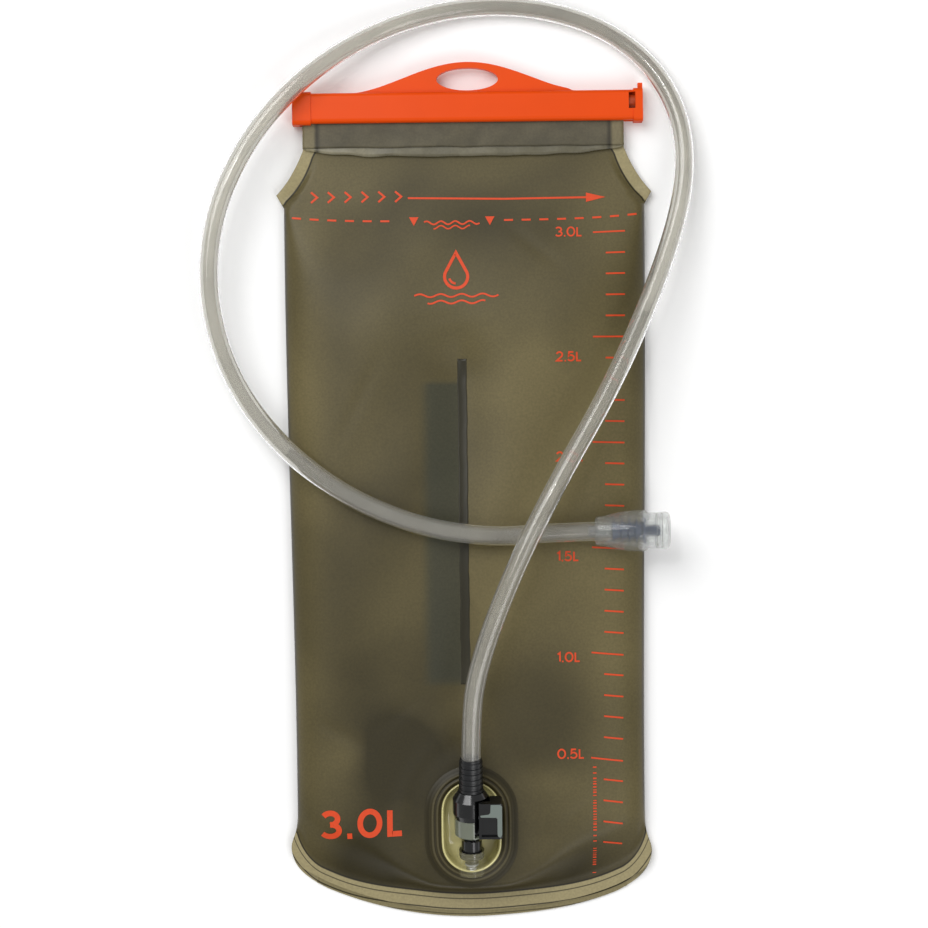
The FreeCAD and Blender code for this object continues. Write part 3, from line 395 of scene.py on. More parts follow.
# One layer of film seen against the light.
LIP_FILM = CalenderedFilm("tpu film, single, bright", "#89836C", 0.36, 1.5, grain_mm=0.9,
                          grain_depth_mm=0.03, mottle_mm=10, dark="#5A5541")
# Film melted into one by the baffle's weld bar: darker and a little glossier.
WELD_FILM = Finish("tpu film, welded", "#2C291B", 0.36, 1.5, specular=0.35, grain_mm=0.8)
# Screen ink on the film: an opaque satin layer with small pinholes of uneven cover.
ORANGE_INK = Finish("screen ink, orange", "#D4461D", 0.5, 1.5, specular=0.3, mottle=0.12,
                    mottle_mm=1.6)
# Polypropylene, injection moulded in orange, satin from the mould, slightly waxy.
ORANGE_PLASTIC = Finish("polypropylene, orange, moulded", "#E04903", 0.36, 1.49, specular=0.16,
                        grain_mm=0.5, grain_depth_mm=0.006, mottle=0.05, mottle_mm=24)
# The same plastic extruded as a rod: duller, and its colour darkened as painted shade for the shade
# of the bar.
SHADED_RAIL_PLASTIC = Finish("polypropylene, orange, extruded", "#A8431C", 0.4, 1.49, specular=0.35)
# Acetal, injection moulded in black: smooth with a soft gloss.
BLACK_PLASTIC = Finish("acetal, black, moulded", "#0B0C0D", 0.2, 1.48, grain_mm=0.6,
                       grain_depth_mm=0.006, coat=0.4)
# Painted sheen: the same black acetal drawn lighter grey, as a plate on the faces of the button
# that catch the light.
BUTTON_SHEEN_GREY = Finish("acetal, black, painted sheen", "#707A74", 0.3, 1.48, grain_mm=0.5,
                          grain_depth_mm=0.01, coat=0.3)
# Polycarbonate tinted with smoke: light goes a little way into it.
SMOKE_PLASTIC = Finish("polycarbonate, smoke, moulded", "#8B917F", 0.16, 1.585,
                       transmission=0.45, coat=0.4)
# Acetal in plain grey, for the valve head that stays inside.
GREY_PLASTIC = Finish("acetal, grey, moulded", "#8D9092", 0.35, 1.48)
# Nitrile and thermoplastic rubber: black, with the dull bloom that rubber has.
BLACK_RUBBER = Finish("nitrile rubber, black", "#111214", 0.34, 1.52, grain_mm=0.5,
                      grain_depth_mm=0.015)
# Hard-drawn wire, bright, with the faint lines of the die.
SPRING_STEEL = Finish("spring steel, drawn", "#B9BBBE", 0.25, 1.5, metallic=1.0, grain_mm=0.1,
                      grain_depth_mm=0.002)
# Polyurethane fitting, moulded clear: it has the yellow-green cast of thick urethane, and it is
# drawn opaque and light, painted light for the light that comes through its clear wall.
CLEAR_WELL = Finish("polyurethane, clear, moulded", "#D3CB8E", 0.16, 1.5, coat=0.6, mottle=0.16,
                    mottle_mm=7)
# Polycarbonate, moulded clear and polished: most of what lies behind it shows through.
CLEAR_SOCKET = Finish("polycarbonate, clear, moulded", "#CFC99A", 0.04, 1.585, coat=1.0,
                      alpha=0.1, specular=1.0, mottle=0.05, grain_depth_mm=0.001)
# Extruded tube with the faint haze of soft polyurethane and a crisp line of light along it.
HOSE_TUBE = Finish("tpu tube, clear, extruded", "#DAD8D0", 0.04, 1.16, coat=1.0,
                   transmission=0.84, grain_depth_mm=0.0005, mottle_mm=18, mottle=0.1)
# Liquid silicone rubber, moulded: a little milky, soft gloss, IOR 1.41.
SILICONE = Finish("silicone rubber, clear", "#E9ECEA", 0.08, 1.41, transmission=0.88,
                  alpha=0.5, grain_mm=0.8, grain_depth_mm=0.01, mottle=0.06, mottle_mm=2.5)
# Acetal coloured dark blue: its ribs show through the silicone.
INSERT_PLASTIC = Finish("acetal, blue, moulded", "#15294A", 0.22, 1.48, coat=0.6)
# Matt white paper.
FLOOR_PAPER = Finish("paper, white", "#FFFFFF", 0.9, 1.45, mottle=0.004, grain_mm=1.5)


# ---- the shape of the bag ---------------------------------------------------
@dataclass
class BagShape:
    """Outline and heights of the two films, in millimetres."""

    half_width: float = 88.0
    pillow_pull: float = 3.2        # the full pillow draws its sides in above the corners
    shoulder_y: float = 138.6       # top of the straight sides
    tip: tuple[float, float] = (91.6, 144.9)    # outer point of the shoulder
    neck: tuple[float, float] = (78.3, 166.5)   # where the scoop meets the neck's side
    panel_top_y: float = 172.85
    lip_y: float = 163.2            # middle of the loose lip
    hem_centre_y: float = -29.9
    rear_hem_radius: float = 178.7
    front_hem_radius: float = 175.5
    film: float = 0.6
    seam_z: float = 3.0             # height of the side folds
    crown_z: float = 20.3           # highest place of the pillow, at crown_y
    crown_y: float = 70.0
    port_y: float = -163.0
    port_z: float = 17.1            # height of the film round the port
    neck_z: float = 4.15
    side_power: float = 3.2         # how square the pillow is across
    weld_x: float = -1.9            # the baffle's weld on the front film
    weld_low: float = -94.1
    weld_high: float = 63.7
    groove_depth: float = 5.0
    web_width: float = 17.5         # from the front weld to the rear weld
    foot_x: float = 71.0            # where the corner leaves the hem's sweep
    corner_top_y: float = -174.0
    flare_end_y: float = -157.0     # the sides are straight above this
    # Centre, heading in degrees, reach along and across, and depth.
    dents: tuple[tuple[float, float, float, float, float, float], ...] = (
        (34, 118, -38, 16, 2.6, 0.3), (-40, 112, 24, 20, 3.0, 0.3), (-52, 44, 64, 22, 3.2, 0.28),
        (52, -52, 72, 26, 3.4, 0.3), (26, -102, -24, 17, 3.0, 0.32), (-30, -104, 38, 15, 2.8, 0.34),
        (-62, -118, -30, 13, 2.6, 0.3), (58, 4, 80, 20, 2.8, 0.26), (48, -160, 40, 14, 2.6, 0.3),
        (-10, 84, 12, 18, 3.0, 0.2))
    hem_drop: float = 3.2           # the hem hangs this much lower at its right end
    weld_radius: float = 167.2      # sweep of the hem's inner weld
    weld_corner: float = 13.0
    weld_half_width: float = 85.7
    flange_width: float = 5.6       # welded band along the shoulders

    def __post_init__(self) -> None:
        """Draw the waves that soft film always has, the same on each run."""
        draw = np.random.default_rng(7)
        self.waves = [(draw.uniform(0.04, 0.16), draw.uniform(0, math.pi),
                       draw.uniform(0, 2 * math.pi), draw.uniform(0.4, 1.0)) for _ in range(14)]

    def weld_sweep(self, x: np.ndarray | float) -> np.ndarray:
        """Sweep of the hem's inner weld at x: the weld narrows towards both corners."""
        flare = np.where(np.asarray(x) < 0, 2.8, 1.4)
        return self.weld_radius + flare * smooth_step(22.0, 66.0, np.abs(x))

    def drop(self, x: np.ndarray | float) -> np.ndarray:
        """How much lower the hem hangs at x than its even sweep."""
        return self.hem_drop * smooth_step(10.0, 80.0, x)

    def hem_depth(self, x: np.ndarray, y: np.ndarray) -> np.ndarray:
        """Distance inside the weld of the hem and its corners.

        Args:
            x: Across the bag.
            y: Along the bag.

        Returns:
            Distances, below 0 in the welded band.
        """
        corner = self.weld_corner
        below = np.minimum(y + self.drop(x) - self.hem_centre_y, 0.0)
        from_hem = self.weld_sweep(x) - np.hypot(x, below)
        from_side = self.weld_half_width - np.abs(x) + FAR * smooth_step(-166.0, -158.0, y)
        return corner - np.hypot(np.maximum(corner - from_side, 0),
                                 np.maximum(corner - from_hem, 0))

    def shoulder_depth(self, x: np.ndarray, y: np.ndarray) -> np.ndarray:
        """Distance inside the outer edge of the shoulder seam and of the neck's sides.

        Args:
            x: Across the bag.
            y: Along the bag.

        Returns:
            Distances, which are large below the shoulders.
        """
        tip, neck = np.array(self.tip), np.array(self.neck)
        chord = (neck - tip) / np.linalg.norm(neck - tip)
        away_x, away_y = np.abs(x) - tip[0], y - tip[1]
        along = np.clip((away_x * chord[0] + away_y * chord[1]) / np.linalg.norm(neck - tip), 0, 1)
        depth = -(away_x * chord[1] - away_y * chord[0]) - 6.4 * along * (1 - along)
        return np.where(y > self.neck[1], self.neck[0] - np.abs(x), depth) \
            + FAR * smooth_step(139.0, 136.5, y)

    def side_x(self, y: np.ndarray | float) -> np.ndarray:
        """Half width of the pillow at a height y."""
        return self.half_width - self.pillow_pull * smooth_step(120.0, -150.0, y)

    def right_edge(self, hem_radius: float) -> np.ndarray:
        """Right edge of a film from the foot of its corner to the neck.

        Args:
            hem_radius: Sweep of its hem.

        Returns:
            Points in order, closest together round the corner.
        """
        reach = hem_radius - self.front_hem_radius
        foot_y = self.hem_centre_y - math.sqrt(hem_radius ** 2 - self.foot_x ** 2)
        corner_top = (self.half_width, self.corner_top_y)
        corner = bezier([(self.foot_x, foot_y), (80.0, foot_y + 5.0),
                         (87.6, -183.0 - reach * 0.5), corner_top], 26)
        low_x = float(self.side_x(-160.0))
        flare = bezier([corner_top, (self.half_width, -168.6), (low_x, -168.0),
                        (low_x, self.flare_end_y)], 12)
        ys = np.linspace(self.flare_end_y, self.shoulder_y, 136)
        side = np.stack([self.side_x(ys), ys], 1)
        step = bezier([(self.half_width, self.shoulder_y), self.tip], 4)
        scoop_middle = (83.2, 153.9)
        scoop = bezier([self.tip, scoop_middle, self.neck], 14)
        neck = bezier([self.neck, (self.neck[0], self.panel_top_y)], 4)
        return np.concatenate([corner, flare[1:], side[1:], step[1:], scoop[1:], neck[1:]])

    def plan(self, hem_radius: float, columns: int) -> tuple[np.ndarray, np.ndarray, np.ndarray]:
        """Points of a film's flat outline, row by row from the hem.

        Args:
            hem_radius: Sweep of its hem.
            columns: Points across.

        Returns:
            X, Y and the outline's own half width at each point.
        """
        edge = self.right_edge(hem_radius)
        across = np.linspace(-1, 1, columns)
        across = 0.45 * across + 0.55 * np.sin(across * math.pi / 2)
        x = edge[:, :1] * across[None, :]
        sweep = self.hem_centre_y - np.sqrt(hem_radius ** 2 - x ** 2)
        sweep_edge = self.hem_centre_y - np.sqrt(hem_radius ** 2 - edge[:, :1] ** 2)
        fade = smooth_step(-60.0, -176.0, edge[:, 1:2])
        y = edge[:, 1:2] + (sweep - sweep_edge - self.drop(x)) * fade
        return x, y, np.broadcast_to(edge[:, :1], x.shape)

    def rear_z(self, x: np.ndarray, y: np.ndarray) -> np.ndarray:
        """Outer face of the rear film, which curls up to the side folds.

        Args:
            x: Across the bag.
            y: Along the bag.

        Returns:
            Heights above the table.
        """
        curl = smooth_step(74.0, 90.0, np.abs(x)) * (self.seam_z - 0.4)
        curl = curl * smooth_step(-184.0, -168.0, y)
        climb = self.neck_z * smooth_step(130.5, self.neck[1], y)
        return np.maximum(curl, climb)

    def ripple(self, x: np.ndarray, y: np.ndarray) -> np.ndarray:
        """Slow waves of the slack film, about a third of a millimetre each way.

        Args:
            x: Across the bag.
            y: Along the bag.

        Returns:
            Heights to add to the film's.
        """
        total = np.zeros(np.broadcast(x, y).shape)
        for pitch, heading, phase, size in self.waves:
            total += size * np.sin(pitch * (x * math.cos(heading)
                                            + y * math.sin(heading) * 0.6) + phase)
        return total * 0.16

    def creases(self, x: np.ndarray, y: np.ndarray) -> np.ndarray:
        """Shallow dents where the film has been folded, up to a third of a millimetre deep.

        Args:
            x: Across the bag.
            y: Along the bag.

        Returns:
            Heights to add to the film's.
        """
        total = np.zeros(np.broadcast(x, y).shape)
        for middle_x, middle_y, heading, length, width, depth in self.dents:
            turn = math.radians(heading)
            along = (x - middle_x) * math.cos(turn) + (y - middle_y) * math.sin(turn)
            across = (y - middle_y) * math.cos(turn) - (x - middle_x) * math.sin(turn)
            total -= depth * np.exp(-(along / length) ** 2 - (across / width) ** 2)
        return total

    def front_z(self, x: np.ndarray | float, y: np.ndarray | float,
                half: np.ndarray | float | None = None) -> np.ndarray:
        """Outer face of the front film.

        Args:
            x: Across the bag.
            y: Along the bag.
            half: Half width of the outline there, where it isn't the pillow's.

        Returns:
            Heights above the table.
        """
        x, y = np.asarray(x, float), np.asarray(y, float)
        half = np.maximum(self.side_x(y) if half is None else half, np.abs(x))
        climb = smooth_step(-134.0, self.crown_y, y)
        fall = smooth_step(self.crown_y, self.lip_y, y)
        low, high = self.port_z - 0.1, self.crown_z
        crown = low + (high - low) * climb + (self.neck_z + 2 * self.film - high) * fall
        across = np.sqrt(np.clip(1 - (np.abs(x) / half) ** self.side_power, 0, 1))
        side = (self.crown_z + 1 - self.seam_z) * across + 1e-3
        body = np.maximum(crown - self.seam_z, 0.3)
        rise = (body ** -6.0 + side ** -6.0) ** (-1 / 6.0)
        slack = smooth_step(0.98, 0.8, np.abs(x) / half)
        quiet = 1 - np.exp(-((x / 26) ** 2 + ((y - self.port_y) / 34) ** 2) ** 2)
        rise = rise + (self.ripple(x, y) + self.creases(x, y)) * slack * quiet \
            * smooth_step(150.0, 120.0, y)
        along = smooth_step(self.weld_low - 26, self.weld_low + 12, y) \
            * smooth_step(self.weld_high + 26, self.weld_high - 10, y)
        dip = np.exp(-np.abs((x - self.weld_x) / 13.5) ** 1.7) * along
        low_part = smooth_step(-60.0, self.weld_high, y)
        rise = rise - dip * (2.0 + (self.groove_depth - 2.0) * low_part)
        rise = rise - 0.7 * np.exp(-((np.hypot(x, (y - self.port_y) * 0.8) - 33) / 6.0) ** 2)
        z = self.seam_z + rise
        depth = self.hem_depth(x, y)
        run = 5.2 + 17.0 * smooth_step(14.0, 60.0, np.abs(x))
        radius = np.hypot(x, np.minimum(y + self.drop(x) - self.hem_centre_y, 0.0))
        wall = smooth_step(0.0, run, self.weld_sweep(x) - radius) * smooth_step(-0.3, 5.0, depth)
        band = self.seam_z + self.film
        z = band + (z - band) * wall
        flange = smooth_step(self.flange_width + 3.0, self.flange_width, self.shoulder_depth(x, y))
        flat = self.rear_z(x, y) + 2 * self.film
        return z + (flat - z) * flange


# ---- the films --------------------------------------------------------------
@dataclass
class Bag:
    """Front film, rear film, gusset, baffle and neck of the reservoir."""

    shape: BagShape
    columns: int = 118
    hole_half_width: float = 17.6
    hole_half_length: float = 25.2
    neck_columns: int = 90
    rail_y: float = 188.8
    closure_z: float = 5.85
    fold_radius: float = 3.3
    seam_width: float = 7.0
    hang_y: float = 178.0           # the film hangs free below this
    outer_end_y: float = 167.4      # free edge of the outer film
    inner_end_y: float = 167.2      # free edge of the inner film, at both sides
    sag_from_y: float = 167.6
    # Painted shade and painted light on the film, dark round the port and along the bottom and
    # light along the sides and right of the weld: centre, reach across and along, and depth, which
    # lightens below 0.
    painted_shade_and_light: tuple[tuple[float, float, float, float, float], ...] = (
        (-36, -128, 20, 15, 1.0), (-52, -82, 22, 30, 0.25), (36, -118, 26, 34, 0.3),
        (0, -158, 27, 36, 0.55), (18, -35, 24, 34, -0.7), (-4, 130, 60, 12, 0.2),
        (-30, -190, 60, 14, 0.35), (48, -186, 40, 18, 0.3), (-58, -168, 30, 22, 0.35),
        (38, 20, 26, 50, -0.6), (-44, 20, 34, 60, 0.12), (-58, -128, 12, 10, -0.4),
        (40, -142, 18, 8, -0.35), (68, 0, 14, 120, -0.55), (-76, 40, 10, 120, -0.35))

    def build(self) -> None:
        """Make each film of the bag."""
        self.front()
        self.rear()
        self.gusset()
        self.baffle()
        self.neck()

    def masks(self, x: np.ndarray, y: np.ndarray, half: np.ndarray,
              front: bool) -> dict[str, np.ndarray]:
        """Numbers that the film's finish reads at each point.

        Args:
            x: Across the bag.
            y: Along the bag.
            half: Half width of the outline there.
            front: True for the front film.

        Returns:
            Masks by name.
        """
        s = self.shape
        shoulder = np.maximum(s.shoulder_depth(x, y) - s.flange_width, -1.5)
        depth = np.minimum(np.minimum(s.hem_depth(x, y) + 40 * smooth_step(7.0, 12.9,
                           s.hem_depth(x, y)), shoulder), HEM_FAR)
        # Painted shade: a dark line along the side folds, where the film turns down.
        edge = smooth_step(1.7, 0.5, half - np.abs(x)) * smooth_step(-162.0, -150.0, y)
        made = {"hem_depth": depth - HEM_FAR, "line": edge * smooth_step(138.0, 134.0, y) * 0.7}
        if front:
            web = smooth_step(s.weld_x - s.web_width - 4.5, s.weld_x - s.web_width + 2.5, x) \
                * smooth_step(s.weld_x, s.weld_x - 1.5, x) \
                * smooth_step(s.weld_low - 2, s.weld_low + 3, y) \
                * smooth_step(s.weld_high - 9.5, s.weld_high - 13.0, y)
            # Painted shade round the port and along the bottom, painted light along the sides and
            # right of the weld.
            cloud = sum(size * np.exp(-(((x - cx) / rx) ** 2 + ((y - cy) / ry) ** 2))
                        for cx, cy, rx, ry, size in self.painted_shade_and_light)
            return made | {"baffle": web * 0.8, "shade": cloud}
        foot = smooth_step(2.9, 2.2, np.abs(x - s.weld_x + s.web_width))
        ends = smooth_step(s.weld_low - 0.5, s.weld_low + 0.5, y) \
            * smooth_step(s.weld_high + 0.5, s.weld_high - 0.5, y)
        made["line"] = np.maximum(made["line"], foot * ends * 0.8)
        return made

    def front(self) -> None:
        """Front film with the hole for the port."""
        s = self.shape
        x, y, half = s.plan(s.front_hem_radius, self.columns)
        z = s.front_z(x, y, half)
        faces = grid_faces(*x.shape)
        flat_x, flat_y = x.ravel(), y.ravel()
        straight = self.hole_half_length - self.hole_half_width
        kept = []
        for face in faces:
            mid_x = sum(flat_x[i] for i in face) / 4
            mid_y = sum(flat_y[i] for i in face) / 4 - s.port_y
            beyond = max(abs(mid_y) - straight, 0.0)
            if math.hypot(mid_x, beyond) > self.hole_half_width:
                kept.append(face)
        film = add_piece("front_film", np.stack([x, y, z], -1), kept, RESERVOIR,
                         FRONT_FILM.build(), self.masks(x, y, half, True))
        thicken(film, s.film)
        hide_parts("front_panel")
        LOG.info("front_film: %d faces", len(kept))

    def rear(self) -> None:
        """Rear film, flat on the table and curled up at its sides."""
        s = self.shape
        x, y, half = s.plan(s.rear_hem_radius, self.columns)
        z = s.rear_z(x, y)
        film = add_piece("rear_film", np.stack([x, y, z], -1), grid_faces(*x.shape), RESERVOIR,
                         FRONT_FILM.build(), self.masks(x, y, half, False))
        thicken(film, s.film, 1.0)
        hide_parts("rear_panel")
        LOG.info("rear_film made")

    def gusset(self) -> None:
        """Pleat of film between the two rims of the hem."""
        s = self.shape
        # Sweep and height of each row, from the front rim in to the fold and out to the rear rim.
        profile = [(175.2, 2.85), (165.0, 2.8), (153.0, 2.7), (151.1, 1.8), (153.0, 0.95),
                   (165.0, 0.85), (178.3, 0.8)]
        half_swing, across = 0.44, 72
        swing = np.linspace(-half_swing, half_swing, across)
        rows = [np.stack([r * np.sin(swing),
                          s.hem_centre_y - r * np.cos(swing) - s.drop(r * np.sin(swing)),
                          0 * swing + z], 1) for r, z in profile]
        points = np.concatenate(rows)
        pleat = add_piece("hem_gusset", points, grid_faces(len(profile), across), RESERVOIR,
                          FRONT_FILM.build(),
                          {"hem_depth": s.hem_depth(points[:, 0], points[:, 1]) - HEM_FAR})
        thicken(pleat, 0.3, 0.0)
        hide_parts("bottom_gusset")

    def baffle(self) -> None:
        """Web inside the bag, and the weld strip that shows on the front film."""
        s = self.shape
        along = 110
        ys = np.linspace(s.weld_low, s.weld_high, along)
        top = s.front_z(np.full_like(ys, s.weld_x), ys) - s.film - 0.25
        foot = s.weld_x - s.web_width
        run = [(s.weld_x + 2.2, 1.0), (s.weld_x - 2.2, 1.0), (s.weld_x - 6, 0.86),
               (foot + 4, 0.3), (foot + 2.2, 0.0), (foot - 2.2, 0.0)]
        rows = [np.stack([0 * ys + x, ys, top * share + 0.95 * (1 - share)], 1)
                for x, share in run]
        web = add_piece("baffle_film", np.concatenate(rows), grid_faces(len(run), along), RESERVOIR,
                        WELD_FILM.build())
        thicken(web, 0.25, 0.0)
        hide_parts("baffle_web")
        self.weld_strip("baffle_weld_front", s.weld_x, lambda x, y: s.front_z(x, y) + 0.12)

    def weld_strip(self, name: str, x_mid: float,
                   height: Callable[[np.ndarray, np.ndarray], np.ndarray]) -> None:
        """Narrow pressed strip where the baffle is welded to a film.

        Args:
            name: Name of the strip.
            x_mid: Its centre line.
            height: Height of the film's face at a point.
        """
        s = self.shape
        ys = np.linspace(s.weld_low, s.weld_high, 160)
        xs = x_mid + np.array([-2.35, -2.15, -1.6, 0.0, 1.6, 2.15, 2.35])
        lift = np.array([-0.16, 0.05, -0.03, -0.04, -0.03, 0.05, -0.16])
        gx, gy = np.meshgrid(xs, ys)
        wander = 0.12 * np.sin(gy * 0.21) + 0.08 * np.sin(gy * 0.57 + 1)
        z = height(gx, gy) + lift[None, :]
        strip = add_piece(name, np.stack([gx + wander, gy, z], -1), grid_faces(*gx.shape),
                          RESERVOIR, WELD_FILM.build())
        thicken(strip, 0.12)

    def neck(self) -> None:
        """Both films above the panels, folded forward over the rail, and the lip."""
        s = self.shape
        outer = self.fold_sheet("neck_fold_outer", self.fold_radius, self.outer_end_y, 0.0, 0.3,
                                NECK_FILM.build(), 3)
        inner = self.fold_sheet("neck_fold_inner", self.fold_radius - 0.62, self.inner_end_y,
                                self.sag_from_y - s.lip_y, 0.35, LIP_FILM.build(), 11)
        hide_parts("neck_fold")
        LOG.info("neck folded: %s, %s", outer.name, inner.name)

    def fold_sheet(self, name: str, radius: float, end_y: float, sag: float, wave: float,
                   material: bpy.types.Material, seed: int) -> bpy.types.Object:
        """One film of the fold, from the panel up, round the rail and down.

        Args:
            name: Name of the piece.
            radius: Radius of the fold about the rail.
            end_y: Where its free edge hangs at both sides.
            sag: How much lower it hangs in the middle.
            wave: How much the free edge wanders.
            material: Its finish.
            seed: Start of its own draw of waves.

        Returns:
            The sheet.
        """
        s = self.shape
        draw = np.random.default_rng(seed)
        xs = np.linspace(-s.neck[0], s.neck[0], self.neck_columns)
        wander = sum(draw.uniform(0.3, 1.0) * np.sin(xs * draw.uniform(0.08, 0.5)
                                                     + draw.uniform(0, 6)) for _ in range(7)) / 2.4
        free_edge = end_y - sag * (1 - np.abs(xs / s.neck[0]) ** 3) ** 0.6
        is_outer = radius > 3
        slot_half = 1.5 if is_outer else 0.9
        low_z, high_z = self.closure_z - slot_half, self.closure_z + slot_half
        spread = math.asin(slot_half / radius)
        turn = np.linspace(spread - math.pi, math.pi - spread, 15)
        back = [(s.panel_top_y, low_z), (self.hang_y + 2, low_z)]
        round_rail = [(self.rail_y + radius * math.cos(a), self.closure_z + radius * math.sin(a))
                      for a in turn]
        front = [(self.hang_y + 4, high_z), (self.hang_y, high_z)]
        rows = [np.stack([xs, 0 * xs + y, 0 * xs + z], 1) for y, z in back + round_rail + front]
        for share in np.linspace(0.15, 1.0, 10):
            y = self.hang_y + (free_edge + wave * wander * share ** 2 - self.hang_y) * share
            lift = 0.22 * share * (1 + wander * 0.8) + (0.25 if is_outer else -0.1) * share
            rows.append(np.stack([xs, y, high_z + lift], 1))
        points = np.concatenate(rows)
        side = s.neck[0] - np.abs(points[:, 0])
        # Painted shade: the lip darkens from its left end towards the middle and the right.
        masks = {"shade": smooth_step(-62.0, -8.0, points[:, 0]) * 0.55 if sag else 0 * side,
                 "weld": smooth_step(self.seam_width, self.seam_width - 0.6, side) * 0.35,
                 "line": np.exp(-((side - self.seam_width) / 0.55) ** 2) * 0.8}
        sheet = add_piece(name, points, grid_faces(len(rows), self.neck_columns), RESERVOIR,
                          material, masks)
        thicken(sheet, 0.4, 0.0)
        return sheet


# ---- the printed marks ------------------------------------------------------
class Stroke(Enum):
    """Numerals and the litre sign as strokes in a cell one unit high."""

    ZERO = "0"
    ONE = "1"
    TWO = "2"
    THREE = "3"
    FIVE = "5"
    POINT = "."
    LITRE = "L"


def arc(cx: float, cy: float, rx: float, ry: float, start: float, end: float,
        steps: int = 14) -> list[tuple[float, float]]:
    """Points of an elliptical arc.

    Args:
        cx: Middle, across.
        cy: Middle, along.
        rx: Radius across.
        ry: Radius along.
        start: Where it starts, in degrees counter-clockwise from the right.
        end: Where it ends, in the same degrees.
        steps: Number of parts.

    Returns:
        Points of the arc.
    """
    return [(cx + rx * math.cos(math.radians(start + (end - start) * i / steps)),
             cy + ry * math.sin(math.radians(start + (end - start) * i / steps)))
            for i in range(steps + 1)]


GLYPHS: dict[Stroke, tuple[float, list[list[tuple[float, float]]]]] = {
    Stroke.ZERO: (0.82, [arc(0.41, 0.5, 0.41, 0.5, 0, 360, 36)]),
    Stroke.ONE: (0.26, [[(0.0, 0.8), (0.26, 1.0), (0.26, 0.0)]]),
    Stroke.TWO: (0.68, [arc(0.33, 0.69, 0.32, 0.31, 165, -42) + [(0.0, 0.0), (0.68, 0.0)]]),
    Stroke.THREE: (0.72, [arc(0.34, 0.75, 0.32, 0.25, 150, -90),
                          arc(0.34, 0.26, 0.38, 0.26, 90, -150)]),
    Stroke.FIVE: (0.7, [[(0.62, 1.0), (0.12, 1.0), (0.07, 0.55)]
                        + arc(0.31, 0.32, 0.38, 0.32, 122, -150)]),
    Stroke.POINT: (0.02, [[(0.0, 0.0), (0.02, 0.0)]]),
    Stroke.LITRE: (0.5, [[(0.0, 1.0), (0.0, 0.0), (0.5, 0.0)]]),
}


